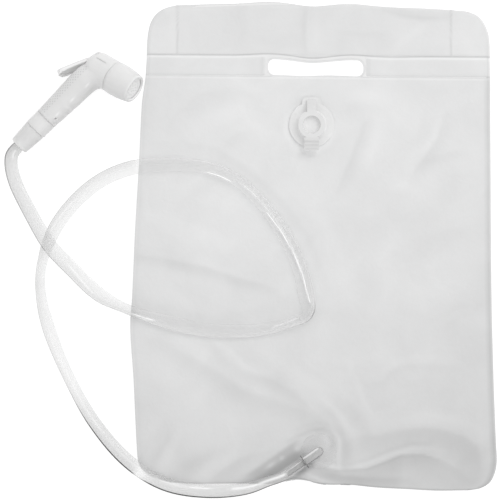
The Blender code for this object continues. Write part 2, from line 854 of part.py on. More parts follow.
def grip_ring(middle, angle, radius, wave):
    """A ring square to the handle's line, which leans towards the nozzle by an angle."""
    across = Vector((math.cos(angle), -math.sin(angle), 0))
    ring = []
    for side in range(round_sides):
        turn = math.tau * side / round_sides
        reach = radius + wave * max(0, math.cos(turn)) ** 2
        ring.append(middle + across * reach * math.cos(turn) + Vector((0, 0, reach * math.sin(turn))))
    return ring


def head_outline():
    """The head's barrel with its domed back and the spigot that the nozzle sleeve covers."""
    points = []
    for reach_share, radius_share in head_back_shares:
        points.append((-head_back * reach_share, head_radius * radius_share))
    points += [(head_front - edge_break, head_radius), (head_front, head_radius - edge_break),
               (head_front, spigot_radius), (spigot_end - edge_break, spigot_radius),
               (spigot_end, spigot_radius - edge_break), (spigot_end, 0)]
    return list(reversed(points))


def water_way_outline():
    """The turned hollow in the head: gland hole, stem hole, chamber, seat and front chamber."""
    stem_hole = stem_radius + stem_clearance
    gland_hole = gland_radius + seat_gap
    return [(-head_back - overrun, 0), (-head_back - overrun, gland_hole), (gland_hole_end, gland_hole),
            (gland_hole_end, stem_hole), (chamber_start, stem_hole), (chamber_start, chamber_radius),
            (chamber_end, chamber_radius), (chamber_end, seat_hole_radius), (seat_face, seat_hole_radius),
            (seat_face, seat_ring_radius), (seat_face - seat_ring_height, seat_ring_radius),
            (seat_face - seat_ring_height, spigot_bore_radius), (spigot_end + overrun, spigot_bore_radius),
            (spigot_end + overrun, 0)]


def make_handle_body(handset, nozzle_axis, handle_axis):
    """Grip and head in one moulding, with the water way, the valve seat and the lever's slot and pocket."""
    body = lofted("handle_body", handle_rings(), "milky_plastic", handset)
    join(body, turned("head_barrel", head_outline(), parent=nozzle_axis))
    socket = rod("socket_cutter", (0, 0, -handle_length - overrun), (0, 0, -handle_length + socket_depth),
                 connector_spigot_radius + seat_gap, parent=handle_axis)
    bore = rod("water_bore_cutter", (0, -handle_length, 0), (water_bore_front, -water_bore_top, 0),
               water_bore_radius, parent=handset)
    way = turned("water_way_cutter", water_way_outline(), parent=nozzle_axis, sides=small_sides)
    rest = frame_empty("lever_at_rest", lever_frame(lever_open_degrees), handset)
    pressed = frame_empty("lever_pressed", lever_frame(lever_open_degrees - lever_travel_degrees), handset)
    room = hub_radius + grip_clearance
    hub_slot = block("hub_slot_cutter", (-room, -room, -hub_width / 2 - seat_gap),
                     (lever_length * hub_neck_share, head_radius * 2, hub_width / 2 + seat_gap), parent=rest)
    pocket_half = lever_width / 2 + grip_clearance
    pocket = block("lever_pocket_cutter",
                   (lever_length * hub_neck_share - grip_clearance * 4, -lever_inner - grip_clearance, -pocket_half),
                   (lever_length + head_radius, head_radius * 2, pocket_half), parent=pressed)
    pin_hole = rod("pin_hole_cutter", (0, 0, -head_radius), (0, 0, head_radius), pin_radius + seat_gap, parent=rest)
    cut(body, socket, bore, way, hub_slot, pocket, pin_hole, vent_cutter(handset), *slit_cutters(nozzle_axis))
    return rest


def vent_cutter(handset):
    """The small moulding hole near the foot of the grip, on the side that faces up."""
    height = -handle_length + vent_height
    side = math.sqrt(handle_foot_radius ** 2 - vent_front ** 2)
    inward = Vector((-vent_front, 0, -side)).normalized()
    mouth = Vector((vent_front, height, side))
    return rod("vent_cutter", mouth - inward * overrun, mouth + inward * vent_depth, vent_radius, parent=handset,
               sides=hole_sides)


def slit_cutters(nozzle_axis):
    """A short slit on each side of the head, level with the lever pin."""
    surface = math.sqrt(head_radius ** 2 - slit_height ** 2)
    cutters = []
    for side in (-1, 1):
        inner, outer = sorted((side * (surface - slit_depth), side * (head_radius + overrun)))
        cutters.append(block("slit_cutter", (slit_height - slit_width / 2, inner, slit_start),
                             (slit_height + slit_width / 2, outer, slit_end), parent=nozzle_axis))
    return cutters


def lever_ring(along_share, width_share, lip_share):
    """A cross-section of the lever: flat inside, crowned outside, deeper at the lip of its tip."""
    along = lever_length * along_share
    half = lever_width / 2 * width_share
    lift = lever_crown * width_share
    side = lever_outer - lift
    across_shares = (-1.0, -0.92, -0.5, 0.0, 0.5, 0.92, 1.0)
    inner = -lever_inner - lever_lip * lip_share
    ring = [Vector((along, inner, -half)), Vector((along, inner, half))]
    for across_share in reversed(across_shares):
        height = side + lift * (1 - across_share ** 2)
        ring.append(Vector((along, height, half * across_share)))
    return ring


def make_lever(rest, nozzle_axis):
    """The thumb lever: a hub on the pin, a heel that bears on the stem and a paddle that is hollow beneath."""
    lever = lofted("trigger_lever", [lever_ring(*shares) for shares in lever_plan_shares], "milky_plastic", rest)
    hub = rod("lever_hub", (0, 0, -hub_width / 2), (0, 0, hub_width / 2), hub_radius, parent=rest)
    join(lever, hub)
    start_share, end_share = hollow_span_shares
    hollow_half = lever_width / 2 - lever_wall
    hollow = extruded("lever_hollow_cutter",
                      rounded_rectangle(lever_length * (end_share - start_share), hollow_half * 2, hollow_half * 0.8,
                                        slot_corner_steps,
                                        middle_x=lever_length * (start_share + end_share) / 2),
                      -lever_inner - lever_lip - overrun, lever_outer - lever_crown - lever_wall, parent=rest,
                      matrix=Matrix.Rotation(-math.pi / 2, 4, "X"))
    heel = block("heel_cutter", (-heel_half_width, -heel_half_width, heel_face),
                 (heel_half_width, heel_half_width, heel_face + head_back), parent=nozzle_axis)
    bore = rod("lever_bore_cutter", (0, 0, -hub_width), (0, 0, hub_width), pin_radius + seat_gap, parent=rest)
    cut(lever, hollow, heel, bore)
    rod("lever_pin", (0, 0, -pin_half_length), (0, 0, pin_half_length), pin_radius, "white_plastic", rest)


def make_valve(nozzle_axis):
    """Stem, washer, gland and seal ring, all on the nozzle axis."""
    stem = [(stem_tip, 0), (stem_tip, stem_radius - stem_tip_dome), (stem_tip + stem_tip_dome, stem_radius),
            (disc_start, stem_radius), (disc_start, washer_radius), (disc_end, washer_radius),
            (disc_end, spring_pip_radius), (disc_end + spring_pip_length, spring_pip_radius),
            (disc_end + spring_pip_length, 0)]
    turned("valve_stem", stem, "white_plastic", nozzle_axis, small_sides)
    bore = stem_radius + stem_clearance
    turned("valve_washer", chamfered_ring(washer_start, washer_start + washer_thickness, bore, washer_radius),
           "seal_rubber", nozzle_axis, small_sides)
    turned("stem_gland", chamfered_ring(gland_start, gland_start + gland_length, bore, gland_radius),
           "white_plastic", nozzle_axis, small_sides)
    ring_radius = stem_radius + stem_clearance + seal_section_radius
    ring = [(seal_middle + seal_section_radius * math.sin(math.tau * step / hole_sides),
             ring_radius + seal_section_radius * math.cos(math.tau * step / hole_sides))
            for step in range(hole_sides)]
    turned("stem_seal_ring", ring, "seal_rubber", nozzle_axis, small_sides)


def make_return_spring(nozzle_axis):
    """One unbroken wire between the valve disc and the retainer."""
    start = disc_end + seat_gap + spring_wire_radius
    end = retainer_start - seat_gap - spring_wire_radius
    count = spring_turns * spring_turn_steps
    points = []
    for index in range(count + 1):
        turn = math.tau * index / spring_turn_steps
        points.append(Vector((spring_radius * math.cos(turn), spring_radius * math.sin(turn),
                              start + (end - start) * index / count)))
    gap = min((points[index + spring_turn_steps] - points[index]).length
              for index in range(count + 1 - spring_turn_steps)) - 2 * spring_wire_radius
    print(f"return spring, least gap between turns {gap * 1000:.2f} mm")
    curve = bpy.data.curves.new("return_spring", "CURVE")
    curve.dimensions = "3D"
    curve.bevel_depth = spring_wire_radius
    curve.bevel_resolution = spring_round_steps
    curve.use_fill_caps = True
    line = curve.splines.new("POLY")
    line.points.add(count)
    for place, point in zip(line.points, points):
        place.co = (*point, 1.0)
    curve.materials.append(finish_material("spring_steel"))
    spring = bpy.data.objects.new("return_spring", curve)
    bpy.context.collection.objects.link(spring)
    spring.parent = nozzle_axis


def ring_of_rods(name, counts, pitch, first_radius, radius, start, end, parent):
    """One cutter made of rods that stand on rings about the axis."""
    shape = bmesh.new()
    for ring, count in enumerate(counts):
        for index in range(count):
            turn = math.tau * index / count
            reach = first_radius + pitch * ring
            middle = Vector((reach * math.cos(turn), reach * math.sin(turn), (start + end) / 2))
            bmesh.ops.create_cone(shape, cap_ends=True, segments=hole_sides, radius1=radius, radius2=radius,
                                  depth=end - start, matrix=Matrix.Translation(middle))
    return mesh_object(name, shape, parent=parent)


def make_nozzle(nozzle_axis):
    """Sleeve, spring retainer, gasket and spray plate, stacked against the sleeve's lip."""
    taper = (head_radius - sleeve_mouth_radius) / sleeve_length
    sleeve = [(sleeve_start, sleeve_bore_radius), (sleeve_start, head_radius - edge_break),
              (sleeve_start + edge_break, head_radius),
              *((sleeve_start + sleeve_length * along_share,
                 head_radius - taper * sleeve_length * along_share + sleeve_belly * belly_share)
                for along_share, belly_share in sleeve_belly_shares),
              (sleeve_end - edge_break * 2, sleeve_mouth_radius + taper * edge_break * 2),
              (sleeve_end, sleeve_mouth_radius - edge_break), (sleeve_end, mouth_bore_radius + edge_break),
              (sleeve_end - edge_break, mouth_bore_radius), (lip_start, mouth_bore_radius),
              (lip_start, stack_bore_radius), (stack_start, stack_bore_radius),
              (stack_start, sleeve_bore_radius)]
    turned("nozzle_sleeve", sleeve, "milky_plastic", nozzle_axis, sides=round_sides)
    stack_radius = stack_bore_radius - seat_gap
    retainer = [(retainer_start, 0), (retainer_start, sleeve_bore_radius - seat_gap),
                (retainer_end, sleeve_bore_radius - seat_gap), (retainer_end, stack_radius),
                (boss_end, stack_radius), (boss_end, stack_radius - gasket_width),
                (retainer_end, stack_radius - gasket_width), (retainer_end, 0)]
    disc = turned("spring_retainer", retainer, "white_plastic", nozzle_axis, small_sides)
    cut(disc, ring_of_rods("port_cutter", (port_count,), 0, port_ring_radius, port_radius,
                           retainer_start - overrun, boss_end + overrun, nozzle_axis))
    turned("spray_plate_gasket",
           chamfered_ring(gasket_start, gasket_end, stack_radius - gasket_width, stack_radius),
           "seal_rubber", nozzle_axis, small_sides)
    plate = turned("spray_plate", [(plate_start, 0), (plate_start, stack_radius), (plate_end, stack_radius),
                                   (plate_end, 0)], "white_plastic", nozzle_axis)
    cut(plate, ring_of_rods("spray_hole_cutter", plate_ring_counts, plate_ring_pitch, 0, plate_hole_radius,
                            plate_start - overrun, plate_end + overrun, nozzle_axis))


def make_inlet(handle_axis):
    """Nut, connector and washer on the foot of the handle, drawn down its axis."""
    cone = (nut_head_radius - nut_mouth_radius) / nut_length
    thread_hole = connector_thread_radius + seat_gap
    nut = [(-nut_bottom, hose_radius + seat_gap), (-nut_bottom, nut_mouth_radius - edge_break * 2),
           (-nut_bottom + edge_break * 2, nut_mouth_radius + cone * edge_break * 2),
           (-nut_top - edge_break, nut_head_radius), (-nut_top, nut_head_radius - edge_break),
           (-nut_top, thread_hole), (-tail_top - nut_floor, thread_hole),
           (-nut_bottom + nut_floor, nut_mouth_radius - nut_wall),
           (-nut_bottom + nut_floor, hose_radius + seat_gap)]
    turned("hose_nut", nut, "milky_plastic", handle_axis)
    tip = tail_top + connector_tail_length
    tail = barbed_tail(-tail_top, -1, tail_radius, tail_barb, connector_tail_length, tail_barb_count - 1)
    connector = [(-tip, spout_bore_radius)] + list(reversed(tail))
    connector += [(-tail_top, connector_thread_radius - edge_break),
                  (-tail_top + edge_break, connector_thread_radius),
                  (-nut_top + seat_gap, connector_thread_radius),
                  (-nut_top + seat_gap, connector_collar_radius - collar_chamfer),
                  (-nut_top + seat_gap + collar_chamfer, connector_collar_radius),
                  (-connector_top - edge_break, connector_collar_radius),
                  (-connector_top, connector_collar_radius - edge_break),
                  (-connector_top, connector_spigot_radius),
                  (-connector_top + connector_spigot_length, connector_spigot_radius),
                  (-connector_top + connector_spigot_length, connector_bore_radius),
                  (-nut_top, connector_bore_radius), (-nut_top, spout_bore_radius)]
    turned("inlet_connector", connector, "milky_plastic", handle_axis)
    washer_low = -connector_top + connector_spigot_length + seat_gap
    turned("inlet_washer",
           [(washer_low, connector_spigot_radius - inlet_washer_width), (washer_low, connector_spigot_radius),
            (washer_low + inlet_washer_thickness, connector_spigot_radius),
            (washer_low + inlet_washer_thickness, connector_spigot_radius - inlet_washer_width)],
           "seal_rubber", handle_axis, small_sides)


def main():
    clear_scene()
    slot = slot_cutter()
    make_back_panel(slot)
    make_front_panel(slot)
    make_header_liner()
    make_handle_strip(slot)
    make_filler_plug(make_filler_valve())
    make_hose(make_outlet())
    handset = frame_empty("handset", handset_matrix())
    nozzle_axis = frame_empty("nozzle_axis", along_nozzle(), handset)
    handle_axis = frame_empty("handle_axis", along_handle(), handset)
    rest = make_handle_body(handset, nozzle_axis, handle_axis)
    make_lever(rest, nozzle_axis)
    make_valve(nozzle_axis)
    make_return_spring(nozzle_axis)
    make_nozzle(nozzle_axis)
    make_inlet(handle_axis)


main()
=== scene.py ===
"""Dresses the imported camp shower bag: creased clear film, flattened hose, clear fittings and milky handset.

The film lies where the photograph shows it, a degree off square and drawn in at the outlet, so its outline,
welds and folds are laid out here in millimetres and turned into metres by one scale.
"""
import math

import bmesh
import bpy
import numpy as np
from mathutils.kdtree import KDTree
from mathutils import Matrix, Vector


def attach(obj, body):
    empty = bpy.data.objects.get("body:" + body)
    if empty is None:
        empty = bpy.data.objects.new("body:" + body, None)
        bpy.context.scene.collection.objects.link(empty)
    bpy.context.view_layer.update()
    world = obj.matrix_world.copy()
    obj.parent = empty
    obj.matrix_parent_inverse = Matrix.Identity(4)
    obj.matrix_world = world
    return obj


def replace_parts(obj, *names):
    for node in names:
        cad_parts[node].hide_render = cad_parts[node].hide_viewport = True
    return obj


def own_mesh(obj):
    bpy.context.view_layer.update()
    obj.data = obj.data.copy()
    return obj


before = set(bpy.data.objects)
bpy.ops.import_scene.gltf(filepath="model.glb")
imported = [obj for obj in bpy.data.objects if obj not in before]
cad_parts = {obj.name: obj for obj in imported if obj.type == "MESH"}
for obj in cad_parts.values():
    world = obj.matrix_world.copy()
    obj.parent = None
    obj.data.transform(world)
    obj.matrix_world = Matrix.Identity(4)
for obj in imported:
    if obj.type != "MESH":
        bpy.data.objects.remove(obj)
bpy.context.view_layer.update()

bl_info = {
    "name": "Camp Shower Bag",
    "version": (1, 0, 0),
    "blender": (4, 5, 0),
    "location": "View3D > Sidebar > Shower Bag",
    "description": "Builds the film bag, its fittings, the hose and the handset of a camp shower",
    "category": "Object",
}

MM = 0.001
BODY = "shower_bag"
SHARP_ANGLE = math.radians(38)
# Camera's middle of view and the point that the lamps face, in metres, and the sensor's width in millimetres
VIEW_MIDDLE, LAMP_AIM, SENSOR = (-0.0576, -0.0026), (-0.06, 0, 0), 36.0
# Lamps: name, place, size and share of the key lamp's power
LAMPS = (("key_lamp", (0.55, 0.85, 1.25), (0.9, 0.9), 1.0), ("side_lamp", (1.3, -0.2, 0.7), (0.25, 1.2), 0.20),
         ("foot_lamp", (-0.3, -1.4, 0.55), (1.2, 0.3), 0.24))

# Outline of the film at rest: left x, left y, right x, right y, from its foot to its top, in millimetres
OUTLINE = np.array((
    (-110.9, -203.4, 130.7, -209.0), (-123.0, -202.6, 138.5, -207.9), (-134.2, -200.4, 144.5, -205.5),
    (-142.8, -197.4, 149.2, -201.7), (-148.8, -193.1, 152.2, -196.1), (-152.7, -187.5, 153.9, -190.1),
    (-154.3, -180.6, 154.6, -183.2), (-155.4, -164.3, 153.8, -166.0), (-157.7, -115.2, 152.2, -124.7),
    (-160.6, -66.2, 150.7, -71.4), (-159.1, -44.7, 150.2, -47.3), (-156.5, 13.8, 149.6, 10.3),
    (-153.1, 72.2, 149.3, 68.8), (-150.5, 123.8, 149.0, 121.3), (-147.4, 147.1, 149.0, 144.7),
    (-146.7, 156.5, 148.9, 154.4), (-146.2, 165.5, 148.8, 163.1), (-146.1, 172.9, 148.6, 172.9),
    (-145.4, 182.3, 147.6, 181.9), (-143.8, 190.5, 145.0, 189.6), (-140.4, 197.5, 140.6, 196.3),
    (-134.8, 203.0, 134.2, 200.7), (-127.7, 206.1, 126.0, 202.8), (-120.4, 207.3, 117.0, 203.3)))
LOWER_WELD_ROW, UPPER_WELD_ROW = 14, 16
# Heights up the bag of its two welds, where the header's side seams stand, and the film's reach, in millimetres
LOWER_WELD, UPPER_WELD, WELD_SLOPE = 147.0, 164.4, -0.008
LEFT_SEAM, RIGHT_SEAM = -120, 115.2
FILM_WIDTH, FILM_FOOT, FILM_HEAD = 300, -204.5, 205.0
# Upper face of the front film at its edge and round a fitting, in millimetres
EDGE_HEIGHT, FITTING_HEIGHT = 1.1, 3.1
# Flat layers under the front film: name, node, mesh step, height, first and last share of the width, first and
# last row of the outline with the distance kept from both, and how much larger the slot is cut in the layer
LAYERS = (("back_film", "bag_back_panel", 7.0, 0.4, (0, 1), (0, -1, 0), 0.5),
          ("header_layer", "header_liner", 6.0, 1.2, (0.089, 0.886), (UPPER_WELD_ROW, -1, 3), None),
          ("carry_strip", "handle_strip", 3.0, 1.45, (0.009, 0.988), (LOWER_WELD_ROW, UPPER_WELD_ROW, 0.6), 1.8))
LINER_THICKNESS = 0.0004

# Waves of the film's upper and lower edges: middle x, reach, height, in millimetres
HEADER_WAVES = ((-42, 18, 1.5), (-4, 16, -2.1), (30, 14, 0.9), (66, 20, -0.6))
FOOT_WAVES = ((-16, 17, 7.2), (-62, 26, 1.3), (26, 20, 2.2), (104, 24, -1.4))
HEADER_BULGE, HEADER_BULGE_HALF = 3.6, 125.0

# Folds of the film: soft reach, sharp reach (left of the way it runs), height and painted shade (below 0) or
# painted highlight (above 0), then its points, in millimetres
FOLDS = (
    (5.5, 3.0, 0.9, -0.062, ((-157, -9), (-138, -9.5), (-118, -14.5), (-95, -19), (-82, -23), (-66, -28.5),
                             (-47, -33), (-34, -38))),
    (9.0, 6.0, 0.4, -0.020, ((-152, 0), (-125, -6), (-95, -20))),
    (12, 8, 0.6, 0.016, ((-157, 24), (-120, 16), (-80, 0), (-50, -12))),
    (9, 6, 0.3, -0.034, ((-157, -46), (-117, -55), (-88, -63), (-52, -56), (-26, -46))),
    (10, 4, 0.9, -0.050, ((-136, -80), (-110, -95), (-88, -108), (-62, -125), (-29, -136), (-7, -145), (6, -152))),
    (9, 6, 0.5, 0.022, ((-120, -80), (-92, -96), (-60, -116), (-30, -130))),
    (8, 4, 0.9, -0.046, ((-93, -80), (-77, -101), (-62, -108), (-38, -116), (-20, -126), (-7, -139), (8, -150))),
    (10, 6, 0.4, -0.030, ((-52, -90), (-40, -104), (-27, -117), (-14, -128))),
    (4.0, 3.0, 0.5, 0.026, ((-86, -82), (-74, -92), (-64, -103), (-54, -108))),
    (9, 6, 0.6, 0.016, ((-30, -104), (0, -122), (14, -134))),
    (6.5, 4.0, 0.8, -0.044, ((-1, -134), (10, -142), (19, -151), (26, -162), (29, -173), (29, -185))),
    (9, 5, 0.5, -0.036, ((16, -128), (28, -137), (39, -150), (45, -163))),
    (3.6, 2.6, 0.5, 0.022, ((4, -130), (16, -142), (23, -153), (26, -163))),
    (2.6, 1.5, 0.9, -0.070, ((-24, -166), (-17, -162), (-10, -158.8), (-2.6, -156.7), (4.8, -155.9), (11.1, -157.7),
                             (15.8, -162.5), (17.4, -168))),
    (4.0, 2.5, 0.5, -0.030, ((-20, -157), (-8, -153), (4, -151), (14, -153), (21, -159))),
    (2.2, 1.4, 0.6, -0.080, ((12.1, -162.0), (14.4, -167.7), (12.7, -172.5))),
    (2.4, 1.4, 0.5, 0.060, ((5.8, -163.0), (10.2, -167.7), (9.6, -171.5))),
    (1.5, 1.2, 0.4, 0.045, ((18.6, -191), (18.2, -180.4), (19.7, -169.8), (18.4, -163.5), (13.0, -158.5))),
    (5.0, 2.5, 0.5, -0.050, ((23.5, -190), (24.0, -175.1), (23.2, -166), (19, -158))),
    (2.8, 2.2, 0.8, 0.042, ((21, -191.2), (43, -186.2), (64, -178.0), (80, -173.6), (98, -173.6), (110, -177))),
    (2.4, 1.6, 0.4, -0.040, ((26, -187.5), (44, -182.2), (64, -173.8), (82, -168.6), (98, -168.6))),
    (14.0, 1.8, 0.9, -0.100, ((20.5, -192), (30, -192.2), (43.3, -191.2), (61, -184.6), (73, -179.6), (91, -179.4),
                              (105, -183.5), (120, -192))),
    (1.2, 1.0, 0.3, -0.050, ((8, -190.6), (20.5, -192), (30, -192.2), (43.3, -191.2), (61, -184.6), (73, -179.6),
                             (91, -179.4), (100, -181.6))),
    (8.0, 4.0, 0.6, -0.100, ((-6, -193), (10, -197.4), (22, -199.0), (38, -200.4), (59, -201.4), (78, -201.5))),
    (1.8, 1.0, 0.6, 0.080, ((20, -191.2), (14.2, -189.5), (5.8, -187.4), (-2, -185.4))),
    (4.0, 2.2, 0.6, -0.050, ((-8, -186), (2, -189), (12, -192.5), (20, -194.5))),
    (1.6, 1.2, 0.4, 0.065, ((-12.5, -193.5), (-4, -197), (4, -200.5), (14, -202.6), (30, -204.0))),
    (17, 5, 1.1, -0.082, ((36, -166), (52, -165), (64, -162), (91, -158), (108, -160), (124, -165), (135, -173),
                          (138, -186), (136, -198))),
    (8, 6, 0.5, 0.020, ((40, -156), (64, -151), (92, -147), (124, -152), (140, -160), (147, -174), (147, -194))),
    (9, 7, 0.7, -0.056, ((-126, -199), (-112, -189), (-100, -183), (-82, -176))),
    (7, 3, 0.7, -0.062, ((-90, -202), (-80, -193), (-66, -184), (-52, -178))),
    (6, 5, 0.5, 0.030, ((-104, -200), (-94, -190), (-74, -180))),
    (5, 4, 0.4, 0.028, ((-119, -160), (-127, -176), (-137, -196))),
    (4, 3, 0.4, -0.030, ((-124, -160), (-133, -174), (-143, -190))),
    (14, 10, 0.6, -0.018, ((-150, -186), (-130, -168), (-118, -150))),
    (5, 2.2, 0.35, -0.026, ((34, -115), (46, -118), (59, -115.5), (65, -107), (73, -102.5), (98, -101.5), (124, -104))),
    (4, 3, 0.25, 0.013, ((36, -110), (50, -111), (62, -102), (80, -96), (120, -97))),
    (4, 2.4, 0.4, 0.024, ((25, -98), (29, -108), (35, -120), (40, -134), (47, -146))),
    (10, 4, 0.6, -0.030, ((-125, 104), (-115, 117), (-97, 130), (-70, 135), (-52, 131))),
    (6, 3, 0.5, -0.028, ((-77, 89), (-70, 94), (-59, 99))),
    (11, 9, 0.5, 0.026, ((-108, 96), (-92, 112), (-66, 112), (-50, 96))),
    (7, 3, 0.7, -0.052, ((20, 50), (25, 61), (32, 77), (38, 92), (43, 106))),
    (8, 6, 0.4, 0.028, ((53, 104), (46, 84), (38, 64))),
    (7, 3, 0.7, -0.048, ((82, 58), (88, 68), (96, 78), (106, 93), (112, 112))),
    (6, 3, 0.4, -0.030, ((94, 75), (108, 78), (126, 84))),
    (5, 4, 0.4, 0.026, ((106, 108), (98, 90), (86, 74))),
    (6, 5, 0.3, 0.030, ((66, 50), (76, 53), (88, 47))),
    (9, 7, 0.4, 0.020, ((98, 66), (114, 70), (134, 66))),
    (7, 4, 0.4, -0.034, ((24, 119), (36, 122), (52, 120))),
    (6, 4, 0.3, 0.020, ((26, 130), (42, 130), (56, 127))),
    (4, 3, 0.3, -0.028, ((-150, 88), (-115, 90), (-86, 84), (-58, 66), (-30, 40), (-4, 4), (10, -36))),
    (9, 7, 0.3, 0.020, ((-20, 48), (6, 18), (20, -14), (26, -44))),
    (12, 8, 0.4, -0.022, ((71, -3), (97, 6), (134, 13))),
    (16, 12, 0.4, -0.020, ((-22, 22), (4, 26), (33, 28), (60, 20), (84, 30))),
    (14, 10, 0.4, 0.018, ((60, -28), (90, -40), (120, -34))),
    (16, 12, 0.4, -0.016, ((96, -52), (124, -66), (140, -100))),
    (14, 10, 0.3, 0.018, ((-120, 38), (-90, 46), (-60, 36))),
    (16, 12, 0.4, 0.018, ((-130, -110), (-100, -140), (-60, -154))),
    (3.0, 1.4, 0.4, -0.040, ((-9, 208), (-10, 187), (-9, 167))),
    (6, 4, 0.3, 0.022, ((-2, 206), (-3, 187), (-2, 168))),
    (12, 8, 0.3, -0.018, ((-62, 208), (-68, 187), (-66, 168))),
    (4, 2.5, 0.4, -0.060, ((112, 198), (92, 197), (74, 200), (58, 204))),
    (3, 2, 0.2, -0.014, ((18, 186), (40, 184), (62, 185))),
    (5, 4, 0.3, 0.020, ((66, 170), (78, 180), (92, 190))),
)

# Carry slot: middle, half length, lower and upper edge, corner, and the height and half height of its soft surround
SLOT_MIDDLE, SLOT_HALF, SLOT_LOW, SLOT_HIGH, SLOT_CORNER = -1.1, 40.9, 147.3, 160.0, 5.5
SURROUND_MIDDLE, SURROUND_HALF = 154.5, 6.6
# Prisms that cut the flat layers run from this height to that one, in millimetres
CUT_LOW, CUT_HIGH = -5, 15
# Filler valve and outlet: their middles, and the radii of the holes under them and of the flat film round them
VALVE, VALVE_HOLE, VALVE_FLAT = (-4.7, 104.9), 9.4, 27
OUTLET, OUTLET_HOLE, OUTLET_FLAT = (1.7, -175.4), 3.5, 19
SPOUT_HEADING = math.radians(215.0)

# Hose: x, y, least height of its middle, width and roll in degrees, in millimetres
HOSE_STATIONS = np.array((
    (-11.5, -184.6, 9.9, 8.2, 0), (-27.9, -196.1, 9.7, 8.4, 0), (-42.1, -201.2, 7.6, 9.0, 0),
    (-61.1, -207.6, 0, 10.4, 0), (-94.6, -209.8, 0, 12.0, -10), (-130.7, -203.6, 0, 12.2, -15),
    (-162.5, -184.0, 0, 12.0, -10), (-190.9, -151.4, 0, 11.4, -20), (-212.4, -113.5, 0, 11.2, -35),
    (-228.8, -74.8, 0, 11.6, -20), (-236.5, -45.6, 0, 9.6, 25), (-237.4, -21.5, 0, 8.6, 50),
    (-230.5, 4.3, 0, 11.6, 20), (-217.6, 27.5, 0, 12.2, 5), (-190.9, 53.8, 0, 12.4, 0),
    (-162.5, 67.1, 0, 12.6, 0), (-130.7, 70.5, 0, 12.4, 0), (-93.7, 67.9, 0, 11.0, 10),
    (-69.7, 57.6, 0, 11.6, 15), (-47.3, 37.4, 0, 12.2, 10), (-27.5, 9.5, 0, 12.6, 5),
    (-14.6, -19.8, 0, 13.2, 0), (-8.7, -46.0, 0, 13.4, -6), (-7.0, -53.5, 0, 10.6, 0),
    (-10.2, -60.0, 0, 8.8, 10), (-20.4, -64.2, 0, 8.8, 20), (-37.9, -69.1, 0, 10.6, 14),
    (-57.6, -72.2, 0, 11.4, 10), (-96.3, -71.4, 0, 12.2, 0),
    (-133.3, -63.2, 0, 12.0, 0), (-160.8, -54.2, 0, 9.0, 40), (-186.6, -41.3, 0, 12.6, 10),
    (-210.7, -18.9, 0, 12.8, 0), (-229.6, 1.3, 6.6, 12.6, 0), (-246.8, 30.1, 0, 12.0, 0),
    (-259.7, 56.8, 0, 11.8, -10), (-262.8, 71.0, 5.0, 11.4, -10), (-261.8, 79.5, 6.6, 11.0, 0),
    (-255.6, 87.0, 8.5, 9.8, 0), (-245.2, 97.4, 9.7, 8.4, 0)))
HOSE_STEPS = 9
HOSE_SIDES = 48
# Hose: width where it is round, least height, how square its sides are and the lift under it
HOSE_ROUND, HOSE_FLAT, HOSE_SQUARENESS, HOSE_LIFT = 8.2, 2.7, 0.85, 0.3
# Stations where the hose meets its nut, where it kinks on the film and where it twists
HOSE_AT_NUT, HOSE_KINK, HOSE_TWISTS = 37.2, 23.4, (10.6, 30.0)
# Painted highlights of bright reflections: first and last station, first and last place across (-1 left to 1 right),
# strength, half width
HOSE_STREAKS = (
    (0.9, 2.4, 0.25, 0.15, 0.75, 0.34), (2.4, 3.4, 0.15, 0.30, 0.70, 0.22), (3.9, 4.4, 0.40, 0.35, 0.9, 0.10),
    (4.4, 8.6, 0.30, 0.00, 0.35, 0.16), (12.0, 13.4, -0.45, -0.20, 0.5, 0.16), (17.0, 17.9, 0.72, 0.62, 1.0, 0.11),
    (19.2, 22.3, 0.34, -0.36, 1.0, 0.075), (18.2, 21.4, 0.0, -0.2, 0.3, 0.16), (24.6, 26.0, 0.5, 0.1, 0.5, 0.10),
    (29.2, 29.9, -0.30, -0.45, 1.0, 0.12), (31.2, 32.2, -0.35, 0.10, 0.6, 0.16), (36.6, 37.6, 0.3, 0.1, 0.6, 0.2))

# Handset: place of its elbow in millimetres, its turns, and its turned outlines (along, radius)
HANDSET_FRAME = (Matrix.Translation(Vector((-188.1, 153.5, 16.3)) * MM)
                 @ Matrix.Rotation(math.radians(44.5 - 90), 4, "Z") @ Matrix.Rotation(math.radians(4.7), 4, "X")
                 @ Matrix.Rotation(math.radians(-23), 4, "Y"))
NOZZLE_TURN = math.radians(74.5)
NOZZLE_FRAME = HANDSET_FRAME @ Matrix(((-math.cos(NOZZLE_TURN), 0, math.sin(NOZZLE_TURN), 0),
                                       (math.sin(NOZZLE_TURN), 0, math.cos(NOZZLE_TURN), 0), (0, 1, 0, 0),
                                       (0, 0, 0, 1)))
HANDLE_FRAME = HANDSET_FRAME @ Matrix(((1, 0, 0, 0), (0, 0, 1, 0), (0, -1, 0, 0), (0, 0, 0, 1)))
# Lever: its frame at rest, from the pivot (along it, out of its back, across), and the hollow of its underside
LEVER_OPEN = math.radians(25.2)
LEVER_FRAME = (HANDSET_FRAME @ Matrix.Translation(Vector((-6.393, 8.085, 0)) * MM)
               @ Matrix(((-math.sin(LEVER_OPEN), -math.cos(LEVER_OPEN), 0, 0),
                         (-math.cos(LEVER_OPEN), math.sin(LEVER_OPEN), 0, 0), (0, 0, -1, 0), (0, 0, 0, 1))))
LEVER_HOLLOW = (15.2, 38.0, 5.8, -2.6, -0.4)
